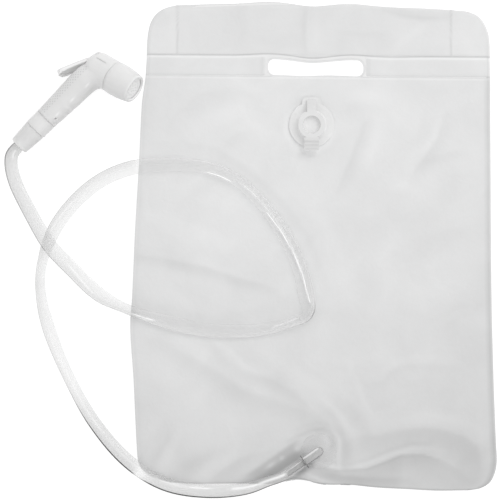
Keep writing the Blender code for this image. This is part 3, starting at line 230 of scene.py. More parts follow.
# Grip: its round hole and its slit with the reach of their cuts, the seam at its foot, its dots' pitch and radius,
# and its painted glints (along, across)
VENT, VENT_RADIUS, VENT_CUT = (8.9, -5.0, -56.0), 0.9, (-1.5, 4.0)
SLIT, SLIT_CUT = ((5.9, 0.2), (6.9, 0.2), (6.9, 10.3), (5.9, 10.3)), (11.3, 15.0)
FOOT_SEAM = -61.0
DOT_PITCH, GRIP_RADIUS = 1.6, 10.2
HANDLE_GLINTS = ((-16.0, 8.9), (-34.0, 8.4), (-52.4, 7.9))
SLEEVE_OUTLINE = ((16.95, 11.2), (16.95, 13.5), (17.1, 13.9), (17.5, 14.1), (20.0, 14.3), (24.0, 14.35),
                  (28.0, 14.2), (32.0, 13.8), (36.0, 13.25), (39.2, 12.7), (40.1, 12.45), (40.5, 12.15),
                  (40.7, 11.7), (40.7, 10.4), (40.5, 10.05), (40.2, 9.9), (39.2, 9.9), (39.2, 10.9),
                  (29.5, 10.9), (29.5, 11.2))
NUT_OUTLINE = ((-95.6, 4.4), (-95.6, 7.1), (-95.4, 7.7), (-94.9, 8.15), (-94.0, 8.4), (-90.0, 8.75),
               (-83.0, 9.2), (-77.0, 9.65), (-75.75, 9.65), (-75.6, 9.6), (-75.52, 9.4), (-75.52, 7.8),
               (-83.0, 7.8), (-92.6, 6.5), (-92.6, 4.4))

# Outlet: its seat and spout, and their turned outlines (along, radius), in millimetres
OUTLET_FRAME = Matrix.Translation(Vector((*OUTLET, FITTING_HEIGHT)) * MM)
SPOUT_FRAME = (OUTLET_FRAME @ Matrix.Translation((0, 0, 6.8 * MM)) @ Matrix.Rotation(SPOUT_HEADING, 4, "Z")
               @ Matrix.Rotation(math.pi / 2, 4, "Y"))
DOME_OUTLINE = ((0, 0.1), (0, 15.3), (0.25, 15.5), (0.75, 15.5), (1.0, 15.3), (1.2, 13.2), (2.0, 11.6),
                (4.2, 10.2), (6.6, 8.4), (8.0, 6.0), (8.6, 3.2), (8.7, 0.1))
SPOUT_OUTLINE = ((-3.6, 0.1), (-3.5, 1.4), (-3.0, 2.6), (-1.9, 3.4), (-0.4, 3.8), (1.5, 3.9), (15.2, 3.9), (15.2, 0.1))
COLLAR_OUTLINE = ((15.1, 3.95), (15.1, 6.2), (15.25, 6.5), (15.45, 6.6), (15.6, 6.4), (15.55, 3.95))
TAIL_START, TAIL_LENGTH, TAIL_BARBS, TAIL_RADIUS = 15.8, 17.8, 4, 2.6


class Value:
    """A socket in a Python expression; arithmetic on it adds Math nodes."""

    def __init__(self, nodes, socket):
        self.nodes = nodes
        self.socket = socket

    def math(self, operation, *others):
        """The result of a Math node on this value and the others."""
        return self.nodes.node("ShaderNodeMath", {"operation": operation}, dict(enumerate((self, *others))))

    def __add__(self, other):
        return self.math("ADD", other)

    def __sub__(self, other):
        return self.math("SUBTRACT", other)

    def __rsub__(self, other):
        return self.nodes.node("ShaderNodeMath", {"operation": "SUBTRACT"}, {0: other, 1: self})

    def __mul__(self, other):
        return self.math("MULTIPLY", other)

    __radd__ = __add__
    __rmul__ = __mul__

    def between(self, low, high):
        """Rises smoothly from 0 at low to 1 at high."""
        return self.nodes.node("ShaderNodeMapRange", {"interpolation_type": "SMOOTHSTEP"},
                               {"Value": self, "From Min": low, "From Max": high})


def grey(tone, warmth=0.0):
    """A near-neutral colour of a tone."""
    return (tone * (1 + warmth), tone, tone * (1 - warmth), 1.0)


class Nodes:
    """A node tree being filled."""

    def __init__(self, tree):
        self.tree = tree

    def node(self, kind, settings=None, inputs=None, output=0):
        """Adds a node of a kind with its settings and its sockets' values, and gives one of its outputs."""
        node = self.tree.nodes.new(kind)
        for setting, value in (settings or {}).items():
            setattr(node, setting, value)
        for socket, value in (inputs or {}).items():
            self.put(value, node.inputs[socket])
        return Value(self, node.outputs[output])

    def put(self, value, socket):
        """Links a value to a socket, or sets a plain one on it."""
        if isinstance(value, Value):
            self.tree.links.new(value.socket, socket)
        else:
            socket.default_value = value

    def seen(self, *rays):
        """1 for rays of the given kinds."""
        first, *others = (self.node("ShaderNodeLightPath", output=f"Is {ray} Ray") for ray in rays)
        for other in others:
            first = first.math("MAXIMUM", other)
        return first


class Finish(Nodes):
    """A material being made, with its Principled shader."""

    def __init__(self, name, **sockets):
        self.material = bpy.data.materials.new(name)
        self.material.use_nodes = True
        super().__init__(self.material.node_tree)
        self.shader = self.tree.nodes["Principled BSDF"]
        for socket, value in sockets.items():
            self.shader.inputs[socket.replace("_", " ")].default_value = value

    def place(self):
        """Position on the piece itself, in metres."""
        return self.node("ShaderNodeTexCoord", output="Object")

    def noise(self, scale, detail=3.0, roughness=0.5, distortion=0.0):
        """Cloudy noise over the piece, from 0 to 1."""
        return self.node("ShaderNodeTexNoise", None,
                         {"Vector": self.place(), "Scale": scale, "Detail": detail,
                          "Roughness": roughness, "Distortion": distortion})

    def attribute(self, name):
        """A number that the piece's points carry."""
        return self.node("ShaderNodeAttribute", {"attribute_name": name}, output="Fac")

    def normal_part(self, direction):
        """How far the surface faces a direction, from -1 to 1."""
        normal = self.node("ShaderNodeNewGeometry", output="Normal")
        return self.node("ShaderNodeVectorMath", {"operation": "DOT_PRODUCT"},
                         {0: normal, 1: Vector(direction).normalized()}, output="Value")

    def mixed(self, factor, first=grey(0.0), second=grey(1.0)):
        """The first colour where the factor is 0, and the second where it is 1."""
        mix = self.tree.nodes.new("ShaderNodeMix")
        mix.data_type = "RGBA"
        self.put(factor, mix.inputs["Factor"])
        for name, value in (("A", first), ("B", second)):
            self.put(value, next(item for item in mix.inputs if item.name == name and item.type == "RGBA"))
        return Value(self, next(item for item in mix.outputs if item.type == "RGBA"))

    def bump(self, height, strength, distance):
        return self.node("ShaderNodeBump", None, {"Height": height, "Strength": strength, "Distance": distance})

    def feed(self, **values):
        """Links values to the shader's sockets and gives the material."""
        for socket, value in values.items():
            self.tree.links.new(value.socket, self.shader.inputs[socket.replace("_", " ")])
        return self.material


def film_finish():
    """Clear film, cloudy all over, with the painted shade and highlights of its creases and edges and the grain of
    calendered plastic.
    """
    finish = Finish("creased_film", Roughness=0.42, Alpha=0.86, IOR=1.45)
    cloud = finish.noise(26.0, 4.0, 0.55, 0.6)
    fine = finish.noise(420.0, 2.0)
    # film_shade holds the film's tone with painted shade and highlights at its folds, edges, hollow and valve
    tone = finish.attribute("film_shade") + (cloud - 0.5) * 0.12 + (fine - 0.5) * 0.02
    ripple = finish.noise(95.0, 3.0, 0.5, 0.8)
    return finish.feed(
        Base_Color=finish.mixed(tone, grey(0.02), grey(1.0, -0.002)),
        Roughness=0.34 + cloud * 0.18,
        Normal=finish.bump(ripple + fine * 0.3, 0.35, 0.0006))


def layer_finish():
    """The plain layers under the front film."""
    finish = Finish("inner_film", Roughness=0.45, IOR=1.45)
    cloud = finish.noise(30.0)
    return finish.feed(Base_Color=finish.mixed(cloud, grey(0.70), grey(0.80)),
                       Normal=finish.bump(finish.noise(300.0), 0.2, 0.0004))


def hose_finish():
    """Clear tube with painted tone and cover: nearly open where it faces up, dense along its sides, painted shade
    darkest on its outer side, painted highlight streaks.
    """
    finish = Finish("clear_hose", IOR=1.5, Coat_Roughness=0.05)
    streak = finish.noise(40.0, 2.0, 0.5, 0.4)
    tone = finish.attribute("hose_tone") + (streak - 0.5) * 0.06
    cover = finish.attribute("hose_cover") + (streak - 0.5) * 0.05
    return finish.feed(Base_Color=finish.mixed(tone), Alpha=cover,
                       Roughness=0.08 + streak * 0.10)


def plug_finish():
    """The plug: frosted cap and strap that glow a little as painted light, a well in its middle painted lighter, a
    darker ribbed tab and the strap painted a little darker.
    """
    # A faint glow of painted light lifts the plug's shade
    finish = Finish("clear_plug", IOR=1.5, Emission_Strength=0.10)
    height, up = (finish.node("ShaderNodeSeparateXYZ", None, {0: finish.place()}, output=axis) for axis in "ZY")
    cloud = finish.noise(150.0, 3.0)
    tab = 1 - up.between((VALVE[1] - 13.5) * MM, (VALVE[1] - 12.0) * MM)
    strap = up.between((VALVE[1] + 11.5) * MM, (VALVE[1] + 13.0) * MM)
    well = (1 - height.between(0.0092, 0.0106)) * (1 - strap)
    # Painted light in the well and painted shade on the strap; the ribbed tab is darker
    tone = 0.64 + well * 0.06 - tab * 0.04 - strap * 0.02 + (cloud - 0.5) * 0.06
    shade = finish.mixed(tone)
    return finish.feed(Base_Color=shade, Emission_Color=shade, Roughness=0.18 + cloud * 0.15)


def fitting_finish(name, tone, cover, shine=0.4, glow=0.0):
    """Soft clear moulding with a painted highlight on its upper-left side, painted shade on its steep sides and
    lower-right edge, and a glow of painted light where one is given.
    """
    finish = Finish(name, IOR=1.5, Emission_Strength=glow)
    # Painted shade on steep and lower-right faces and a painted highlight on upper-left faces, scaled by shine
    side = 1 - finish.normal_part((0, 0, 1)).math("ABSOLUTE")
    shaded = finish.normal_part((0.56, -0.80, 0.20)).between(0.72, 0.99)
    lit = finish.normal_part((-0.45, 0.64, 0.62)).between(0.90, 0.985)
    cloud = finish.noise(150.0, 3.0)
    shade = tone - side.between(0.3, 1.0) * 0.08 - shaded * shine * 0.8 + lit * shine * 0.6 + (cloud - 0.5) * 0.08
    colour = finish.mixed(shade)
    return finish.feed(Base_Color=colour, Emission_Color=colour,
                       Alpha=cover + lit * shine + shaded * shine * 0.8 + (cloud - 0.5) * 0.06,
                       Roughness=0.10 + cloud * 0.15)


def rim_finish():
    """The outlet's collar: a painted highlight along its top, dark at both sides."""
    finish = Finish("dark_rim", IOR=1.5)
    cloud = finish.noise(300.0)
    tone = 0.05 + finish.normal_part((0, 0, 1)).between(0.45, 0.95) * 0.34 + (cloud - 0.5) * 0.04
    return finish.feed(Base_Color=finish.mixed(tone), Roughness=0.3 + cloud * 0.2)


def milky_finish(tone):
    """Satin moulded plastic that glows a little, with faint cloudiness, fine grain, a darker dotted band, painted shade
    on faces pointing down and right, and the pieces' painted light and shade.
    """
    finish = Finish("milky_plastic", IOR=1.46, Coat_Weight=0.12, Coat_Roughness=0.3, Subsurface_Weight=0.55,
                    Subsurface_Radius=(1.0, 1.0, 1.0), Subsurface_Scale=0.006)
    cloud = finish.noise(70.0, 4.0, 0.6, 0.4)
    grain = finish.noise(1600.0, 2.0)
    # Painted shade on the faces that point down and to the right
    low = finish.normal_part((0.35, -0.85, -0.2)).between(-0.1, 0.95)
    dots = finish.attribute("grip_along").math("SINE") * finish.attribute("grip_turn").math("SINE")
    dots = dots.between(0.1, 0.7) * finish.attribute("grip_dots")
    # The pieces' painted light and shade: a darker handle, glints along it and a lighter lever underside
    value = tone + (cloud - 0.5) * 0.07 - low * 0.10 - dots * 0.13 + finish.attribute("grip_painted_light_and_shade")
    return finish.feed(Base_Color=finish.mixed(value, second=grey(1.0, 0.002)),
                       Roughness=0.38 + cloud * 0.12,
                       Normal=finish.bump(grain + cloud * 0.5 - dots * 3.0, 0.15, 0.0003))


def plain_finish(name, tone, roughness, grain_scale, metallic=0.0):
    """A plain piece with fine mottling."""
    finish = Finish(name, Metallic=metallic)
    grain = finish.noise(grain_scale, 3.0)
    return finish.feed(Base_Color=finish.mixed(grain, grey(tone * 0.85), grey(tone)),
                       Roughness=roughness + (grain - 0.5) * 0.2,
                       Normal=finish.bump(grain, 0.12, 0.0003))


# Film outline and surface

def gentle_slopes(places, values):
    """Slopes for a curve through the values that never swings past them."""
    steps = np.diff(places)
    rises = np.diff(values) / steps
    slopes = np.zeros_like(values)
    slopes[0], slopes[-1] = rises[0], rises[-1]
    same_way = rises[:-1] * rises[1:] > 0
    before, after = 2 * steps[1:] + steps[:-1], steps[1:] + 2 * steps[:-1]
    with np.errstate(divide="ignore", invalid="ignore"):
        inner = (before + after) / (before / rises[:-1] + after / rises[1:])
    slopes[1:-1] = np.where(same_way, inner, 0.0)
    return slopes


def along_curve(places, values, asked):
    """Reads the gentle curve through (place, value) at the asked places."""
    slopes = gentle_slopes(places, values)
    index = np.clip(np.searchsorted(places, asked, side="right") - 1, 0, len(places) - 2)
    step = places[index + 1] - places[index]
    t = (asked - places[index]) / step
    return spread(t, values[index], values[index + 1], step * slopes[index], step * slopes[index + 1])


def outline_places():
    """Distance up the film's sides at each row of the outline."""
    left = np.hypot(*np.diff(OUTLINE[:, :2], axis=0).T)
    right = np.hypot(*np.diff(OUTLINE[:, 2:], axis=0).T)
    return np.concatenate(([0.0], np.cumsum((left + right) / 2)))


def rise(value, low, high):
    """Smooth step from 0 at low to 1 at high."""
    t = np.clip((value - low) / (high - low), 0, 1)
    return t * t * (3 - 2 * t)


def bell(value, middle, half):
    """1 at the middle, falling softly to both sides."""
    return np.exp(-((value - middle) / half) ** 2)


def spread(t, start, end, leaving, arriving):
    """Point at share t of a smooth curve from start to end, with its slopes at both."""
    return ((2 * t ** 3 - 3 * t ** 2 + 1) * start + (t ** 3 - 2 * t ** 2 + t) * leaving
            + (3 * t ** 2 - 2 * t ** 3) * end + (t ** 3 - t ** 2) * arriving)


def waves(x, table):
    """Sum of the waves (middle, reach, height) at each place."""
    return sum(height * bell(x, middle, reach) for middle, reach, height in table)


def header_bulge(x):
    """How far the header's upper edge bows out, in millimetres."""
    return HEADER_BULGE * np.clip(1 - ((x + 5) / HEADER_BULGE_HALF) ** 2, 0, 1)


def film_lines(step):
    """Shares across the film and distances up it, close together at the side seams and the two welds."""
    seam = np.array((0, 0.6, 1.2, 1.8, 2.4, 3.2, 4.4, 6.2, 8.6)) / FILM_WIDTH
    middle = np.arange(11.0, 289.1, step) / FILM_WIDTH
    shares = np.concatenate((seam, middle, 1 - seam[::-1]))
    places = outline_places()
    rows = list(np.arange(0, places[-1] - step / 2, step)) + [places[-1]]
    rows += [0.5, 1.1, 1.8, places[-1] - 0.5, places[-1] - 1.1, places[-1] - 1.8]
    for row in (LOWER_WELD_ROW, UPPER_WELD_ROW):
        rows += [places[row] + offset for offset in (-2.0, -1.3, -0.8, -0.4, 0, 0.4, 0.8, 1.3, 2.0)]
    rows = np.array(sorted(rows))
    return shares, rows[np.concatenate(([True], np.diff(rows) > 0.25))]


def film_plan(shares, rows):
    """Plan of the film in millimetres, with the waves of its header and its drawn-in foot."""
    places = outline_places()
    left_x, left_y, right_x, right_y = (along_curve(places, OUTLINE[:, column], rows)[:, None]
                                        for column in range(4))
    x = left_x + (right_x - left_x) * shares
    y = left_y + (right_y - left_y) * shares
    up = rows[:, None]
    inside = np.sin(np.pi * np.clip(shares, 0, 1)) ** 0.25
    header = rise(up, places[LOWER_WELD_ROW], places[UPPER_WELD_ROW])
    y = y + waves(x, HEADER_WAVES) * header + header_bulge(x) * rise(up, places[UPPER_WELD_ROW] + 4, places[-1])
    y = y + waves(x, FOOT_WAVES) * np.exp(-up / 24.0) * inside
    return x, y


def fold_effect(x, y, column):
    """Sum of the folds' heights (column 2) or painted shade and highlights (column 3) at each point."""
    total = np.zeros_like(x)
    for fold in FOLDS:
        soft, sharp, points = fold[0], fold[1], np.array(fold[4], float)
        lengths = np.hypot(*np.diff(points, axis=0).T)
        starts = np.concatenate(([0.0], np.cumsum(lengths)))
        nearest, along, left = np.full_like(x, 1e9), np.zeros_like(x), np.zeros_like(x)
        for start, end, length, run in zip(points, points[1:], lengths, starts):
            ahead_x, ahead_y = (end - start) / length
            away_x, away_y = x - start[0], y - start[1]
            share = np.clip((away_x * ahead_x + away_y * ahead_y) / length, 0, 1)
            gap = np.hypot(away_x - share * length * ahead_x, away_y - share * length * ahead_y)
            closer = gap < nearest
            nearest = np.where(closer, gap, nearest)
            along = np.where(closer, run + share * length, along)
            left = np.where(closer, ahead_x * away_y - ahead_y * away_x, left)
        reach = soft + (sharp - soft) * rise(left, -sharp, sharp)
        taper = np.sin(np.pi * np.clip(along / starts[-1] * 0.86 + 0.07, 0, 1)) ** 0.6
        total += fold[column] * taper * bell(nearest, 0, reach)
    return total


def film_top(x, y):
    """Height of the film's upper face in millimetres, nothing outside the film."""
    left, right = (np.interp(y, OUTLINE[:, side + 1], OUTLINE[:, side]) for side in (0, 2))
    foot, head = FILM_FOOT - 0.02 * x, FILM_HEAD + header_bulge(x)
    edge = np.minimum(np.minimum(x - left, right - x), np.minimum(y - foot, head - y))
    across = np.clip(np.abs(2 * x - left - right) / (right - left), 0, 1)
    along = np.clip(np.abs(y + 28.7) / 176.0, 0, 1)
    weld_low, weld_high = LOWER_WELD + WELD_SLOPE * x, UPPER_WELD + WELD_SLOPE * x
    body = 1.2 + 2.5 * (1 - across ** 4) * (1 - along ** 4)
    header = 1.9 + 0.25 * np.sin(x * 0.05) * np.sin(y * 0.11)
    height = np.where(y > weld_high, header, np.where(y > weld_low, 2.0, body))
    beside_slot = np.hypot(np.maximum(np.abs(x - SLOT_MIDDLE) - SLOT_HALF, 0),
                           np.maximum(np.abs(y - SURROUND_MIDDLE) - SURROUND_HALF, 0))
    height = height - 0.9 * np.exp(-(beside_slot / 2.6) ** 4) * (height > 1.9)
    near_weld = np.minimum(np.abs(y - weld_low), np.abs(y - weld_high))
    height = height - 0.5 * bell(near_weld, 0, 0.9)
    quiet = np.maximum.reduce([np.exp(-(np.hypot(x - fitting[0], y - fitting[1]) / reach) ** 4)
                               for fitting, reach in ((VALVE, VALVE_FLAT), (OUTLET, OUTLET_FLAT))])
    folds = fold_effect(x, y, 2) * (1 - quiet) * rise(edge, 0.5, 9.0)
    height = EDGE_HEIGHT + (height - EDGE_HEIGHT + folds) * rise(edge, -0.5, 3.0)
    height = np.where(quiet > 0.5, np.minimum(height, FITTING_HEIGHT), height)
    return np.where(edge > -2.5, height, 0.0)


def film_shade(x, y):
    """Tone of the front film with painted shade darker to its foot, right side and corners, darker in its mid header,
    and its painted folds on top.
    """
    across, along = x / 150, y / 200
    # Painted shade: the film darkens smoothly towards its foot, its right side and its corners
    shade = 0.789 + 0.049 * along - 0.030 * across + 0.016 * across * along
    shade -= 0.045 * along ** 2 + 0.023 * across ** 2
    shade += rise(y, 140, 176) * (0.045 * across ** 2 - 0.020)
    # Painted light in a ring round the valve and a patch below its tab lifts the plug's shadow on the film
    around = np.hypot(x - VALVE[0] + 1.5, y - VALVE[1] + 2.5)
    below_tab = np.hypot((x - VALVE[0] + 2.0) / 7, (y - VALVE[1] + 22) / 4)
    return shade + fold_effect(x, y, 3) + 0.07 * bell(around, 19.5, 3.2) + 0.12 * bell(below_tab, 0, 1)


def weld_and_seam_shade(x, y, shares, rows):
    """Tone added along the welds, the side seams, the strip and the header's inner layer, and painted shade at the
    film's edges.
    """
    places = outline_places()
    lower, upper, head = places[LOWER_WELD_ROW], places[UPPER_WELD_ROW], places[-1]
    up, across = rows[:, None], shares * FILM_WIDTH
    right = FILM_WIDTH - across
    header, body, in_band = up > upper + 1.2, up < lower, (up > lower) * (up < upper)
    added = np.zeros_like(x)
    added -= 0.012 * (rise(x, LEFT_SEAM - 1, LEFT_SEAM + 1) * (1 - rise(x, 114, 116)) * header)
    added -= 0.10 * header * (bell(x, LEFT_SEAM, 0.9) + bell(x, RIGHT_SEAM, 0.9))
    for place, strength in ((upper, 0.19), (lower + 1.0, 0.12)):
        added -= strength * bell(up, place, 0.65)
        added += 0.05 * bell(up, place - 1.9, 0.9)
    band = (up > lower + 1.5) * (up < upper - 2.2)
    in_strip = (across > 2.2) * (across < 296.6)
    added += 0.045 * in_band * (1 - band * in_strip)
    slot_reach = np.abs(x - SLOT_MIDDLE) - SLOT_HALF
    added += 0.06 * bell(slot_reach, 1.6, 1.4) * band
    added -= 0.05 * bell(slot_reach, 4.6, 1.8) * band
    added -= np.where(body, 0.07, np.where(in_band, 0.13, 0.05)) * bell(right, 2.1, 1.1)
    # Along the outer edges: a lighter line at the right edge above its corner, and painted shade at the lower right
    # corner, the left edge, the foot and the head
    added += 0.05 * bell(right, 0, 0.8) * rise(up, 16, 34)
    added -= 0.15 * bell(right, 0, 1.3) * (1 - rise(up, 16, 34))
    added -= 0.06 * bell(across, 0, 0.9)
    added -= 0.025 * bell(across, 3.2, 1.2) * body
    added -= 0.17 * bell(y, y[:1], 1.1)
    added -= 0.10 * bell(up, head, 0.8)
    added -= 0.05 * (across > 294) * body
    return added


def outlet_shade(x, y):
    """Painted shade in the gathered hollow left of the outlet, with painted highlight patches on it, and painted shadow
    under the hose.
    """
    dx, dy = x - OUTLET[0], y - OUTLET[1]
    along = dx * math.cos(SPOUT_HEADING) + dy * math.sin(SPOUT_HEADING)
    above = dx * math.sin(SPOUT_HEADING) - dy * math.cos(SPOUT_HEADING)
    # Painted shade of the gathered hollow
    hollow = rise(above, 3.0, 5.5) * (1 - rise(above, 16.5, 21.0)) * rise(along, 5, 18) * (1 - rise(along, 52, 76))
    depth = 0.16 + 0.10 * (1 - rise(above, 8.5, 14.0)) * (1 - rise(along, 44, 66))
    # Painted highlight patches in the hollow: place along and across the spout, half length, half width
    patches = ((6.6, 12.7, 5.0, 3.2), (14.1, 12.2, 2.5, 2.5), (29.5, 13.3, 2.2, 1.8), (41.0, 13.9, 5.0, 1.8))
    light = sum(bell(along, middle, length) * bell(above, side, width) for middle, side, length, width in patches)
    # Painted shadow under the hose
    under = bell(above, -6.0, 2.5) * rise(along, 8, 14) * (1 - rise(along, 24, 34))
    return -hollow * (depth - 0.15 * light) - 0.22 * under


# Mesh helpers

def wear(mesh, finish):
    """Gives a mesh its only finish."""
    mesh.materials.clear()
    mesh.materials.append(finish)


def add_piece(name, mesh, finish, body=BODY):
    """Adds a piece with its mesh, finish, material slot and body."""
    wear(mesh, finish)
    piece = bpy.data.objects.new(name, mesh)
    bpy.context.scene.collection.objects.link(piece)
    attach(piece, body)
    return piece


def link_mesh(name, points, faces, finish, slot):
    """Adds a smooth mesh piece from points in millimetres."""
    mesh = bpy.data.meshes.new(name)
    mesh.from_pydata([tuple(point) for point in np.asarray(points) * MM], [], faces)
    mesh.shade_smooth()
    return add_piece(name, mesh, finish)


def copy_node(name, node, finish, body=BODY):
    """Adds a piece that starts from a CAD node's own mesh."""
    return add_piece(name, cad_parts[node].data.copy(), finish, body)


def mark(piece, name, values):
    """Gives each point of a piece a number that its finish reads."""
    layer = piece.data.attributes.new(name, "FLOAT", "POINT")
    layer.data.foreach_set("value", np.asarray(values, np.float32).ravel())


def grid_faces(rows, columns, around=False):
    """Quads of a grid of points, closed round its columns on request."""
    last = columns if around else columns - 1
    return [(row * columns + column, row * columns + (column + 1) % columns,
             (row + 1) * columns + (column + 1) % columns, (row + 1) * columns + column)
            for row in range(rows - 1) for column in range(last)]


def apply_modifiers(piece):
    """Turns a piece's modifiers into its mesh."""
    graph = bpy.context.evaluated_depsgraph_get()
    mesh = bpy.data.meshes.new_from_object(piece.evaluated_get(graph))
    old = piece.data
    piece.modifiers.clear()
    piece.data = mesh
    bpy.data.meshes.remove(old)


def thicken(piece, thickness):
    """Gives a surface a thickness below it."""
    solid = piece.modifiers.new("thickness", "SOLIDIFY")
    solid.thickness, solid.offset, solid.use_even_offset = thickness, -1.0, False


def cut_out(piece, outlines, low=CUT_LOW, high=CUT_HIGH, matrix=Matrix()):
    """Cuts prisms with the given outlines (millimetres, in the matrix's plan) through a piece."""
    shape = bmesh.new()
    for outline in outlines:
        base = shape.faces.new([shape.verts.new((x * MM, y * MM, low * MM)) for x, y in outline])
        made = bmesh.ops.extrude_face_region(shape, geom=[base])["geom"]
        lifted = [item for item in made if isinstance(item, bmesh.types.BMVert)]
        bmesh.ops.translate(shape, verts=lifted, vec=(0, 0, (high - low) * MM))
    bmesh.ops.transform(shape, verts=shape.verts, matrix=matrix)
    bmesh.ops.recalc_face_normals(shape, faces=shape.faces)
    mesh = bpy.data.meshes.new("cutter")
    shape.to_mesh(mesh)
    shape.free()
    cutter = bpy.data.objects.new("cutter", mesh)
    bpy.context.scene.collection.objects.link(cutter)
    modifier = piece.modifiers.new("cut", "BOOLEAN")
    modifier.operation, modifier.solver, modifier.object = "DIFFERENCE", "EXACT", cutter
    apply_modifiers(piece)
    piece.data.set_sharp_from_angle(angle=SHARP_ANGLE)
    bpy.data.objects.remove(cutter, do_unlink=True)


def slot_outline(margin=0.0):
    """The carry slot, 82 mm long, with round ends and the header's waves in its upper edge."""
    points = []
    low, high, half = SLOT_LOW - margin, SLOT_HIGH + margin, SLOT_HALF + margin
    corner = SLOT_CORNER + margin
    for quarter, (side_x, side_y) in enumerate(((1, 1), (-1, 1), (-1, -1), (1, -1))):
        middle_y = (high if side_y > 0 else low) - side_y * corner
        for step in range(7):
            angle = (quarter + step / 6) * math.pi / 2
            points.append((SLOT_MIDDLE + side_x * (half - corner) + corner * math.cos(angle),
                           middle_y + corner * math.sin(angle)))
        if quarter == 0:
            points += [(x, high) for x in np.arange(33, -36, -3.0)]
        if quarter == 2:
            points += [(x, low) for x in np.arange(-34, 33, 4.0)]
    bent = []
    for x, y in points:
        share = rise(y, low, high)
        bent.append((x, y - 0.010 * x + float(waves(x, HEADER_WAVES)) * share * 0.9
                     + 0.3 * math.sin(x * 0.12) * (1 - share)))
    return bent


def circle(middle, radius, sides=40):
    """Outline of a round hole."""
    return [(middle[0] + radius * math.cos(math.tau * step / sides),
             middle[1] + radius * math.sin(math.tau * step / sides)) for step in range(sides)]


# Settings that a user would change

class FilmSettings(bpy.types.PropertyGroup):
    """Sizes of the film bag."""
    thickness: bpy.props.FloatProperty(name="Film thickness", description="Thickness of each film panel",
                                       default=0.0004, unit="LENGTH")
    grid_step: bpy.props.FloatProperty(name="Grid step", description="Spacing of the film's mesh, in millimetres",
                                       default=1.7)
    strip_thickness: bpy.props.FloatProperty(name="Strip thickness", description="Thickness of the carry strip",
                                             default=0.0008, unit="LENGTH")


class HoseSettings(bpy.types.PropertyGroup):
    """Shape of the hose."""
    squash: bpy.props.FloatProperty(name="Squash", description="How much flatter the hose is where it is wider",
                                    default=1.15, subtype="FACTOR")


class HandsetSettings(bpy.types.PropertyGroup):
    """Finish of the handset."""
    tone: bpy.props.FloatProperty(name="Plastic tone", description="How light the milky plastic is", default=0.76,
                                  subtype="FACTOR")
    rounding: bpy.props.FloatProperty(name="Mould rounding", description="Grid that rounds the moulded edges",
                                      default=0.0005, unit="LENGTH")


class StageSettings(bpy.types.PropertyGroup):
    """Camera and light."""
    view_width: bpy.props.FloatProperty(name="View width", description="Width of floor in the picture",
                                        default=0.430, unit="LENGTH")
    camera_height: bpy.props.FloatProperty(name="Camera height", description="Height of the camera over the floor",
                                           default=4.0, unit="LENGTH")
    sky: bpy.props.FloatProperty(name="Sky strength", description="Light from all round", default=0.81)
    key: bpy.props.FloatProperty(name="Key lamp", description="Power of the large soft lamp", default=7.5)


class StageOperator(bpy.types.Operator):
    """Lays the white floor and sets the soft studio light and the camera"""
    bl_idname = "shower_bag.stage"
    bl_label = "Stage"

    def execute(self, context):
        settings = context.scene.shower_bag_stage
        camera_data = bpy.data.cameras.new("camera")
        camera_data.sensor_width = SENSOR
        camera_data.lens = SENSOR * settings.camera_height / settings.view_width
        camera_data.clip_end = 100.0
        camera = bpy.data.objects.new("camera", camera_data)
        camera.location = (*VIEW_MIDDLE, settings.camera_height)
        context.scene.collection.objects.link(camera)
        context.scene.camera = camera
        context.scene.view_settings.view_transform = "Standard"
        mesh = bpy.data.meshes.new("floor")
        reach, level = 4.0, -0.0003
        corners = ((-reach, -reach), (reach, -reach), (reach, reach), (-reach, reach))
        mesh.from_pydata([(*corner, level) for corner in corners], [], [(0, 1, 2, 3)])
        floor = bpy.data.objects.new("floor", mesh)
        context.scene.collection.objects.link(floor)
        mesh.materials.append(self.floor_finish())
        self.light_sky(context, settings)
        for name, place, size, share in LAMPS:
            self.add_lamp(context, name, place, size, settings.key * share)
        return {"FINISHED"}

    def floor_finish(self):
        """White sweep that glows a little for the camera, so that only the object's shadow shows on it."""
        finish = Finish("white_floor", Base_Color=grey(0.86), Roughness=0.9)
        seen = finish.seen("Camera", "Glossy", "Transmission")
        glow = finish.node("ShaderNodeEmission", None, {"Color": (1, 1, 1, 1), "Strength": 1.28})
        lit = Value(finish, finish.shader.outputs[0])
        mix = finish.node("ShaderNodeMixShader", None, {0: seen * 0.62, 1: lit, 2: glow})
        finish.tree.links.new(mix.socket, finish.tree.nodes["Material Output"].inputs["Surface"])
        return finish.material

    def light_sky(self, context, settings):
        """White where the camera or a gloss sees it, and a plain light level for everything else."""
        world = bpy.data.worlds.new("sky")
        context.scene.world = world
        world.use_nodes = True
        world.node_tree.nodes.clear()
        sky = Nodes(world.node_tree)
        strength = sky.node("ShaderNodeMapRange", None, {"Value": sky.seen("Camera", "Glossy"),
                                                         "To Min": settings.sky, "To Max": 1.0})
        background = sky.node("ShaderNodeBackground", None, {"Color": (1, 1, 1, 1), "Strength": strength})
        sky.put(background, sky.tree.nodes.new("ShaderNodeOutputWorld").inputs["Surface"])

    def add_lamp(self, context, name, place, size, power):
        """A rectangular lamp that faces the middle of the object."""
        lamp = bpy.data.lights.new(name, "AREA")
        lamp.shape = "RECTANGLE"
        lamp.size, lamp.size_y = size
        lamp.energy = power
        item = bpy.data.objects.new(name, lamp)
        item.location = place
        item.rotation_euler = (Vector(place) - Vector(LAMP_AIM)).to_track_quat("Z", "Y").to_euler()
        context.scene.collection.objects.link(item)


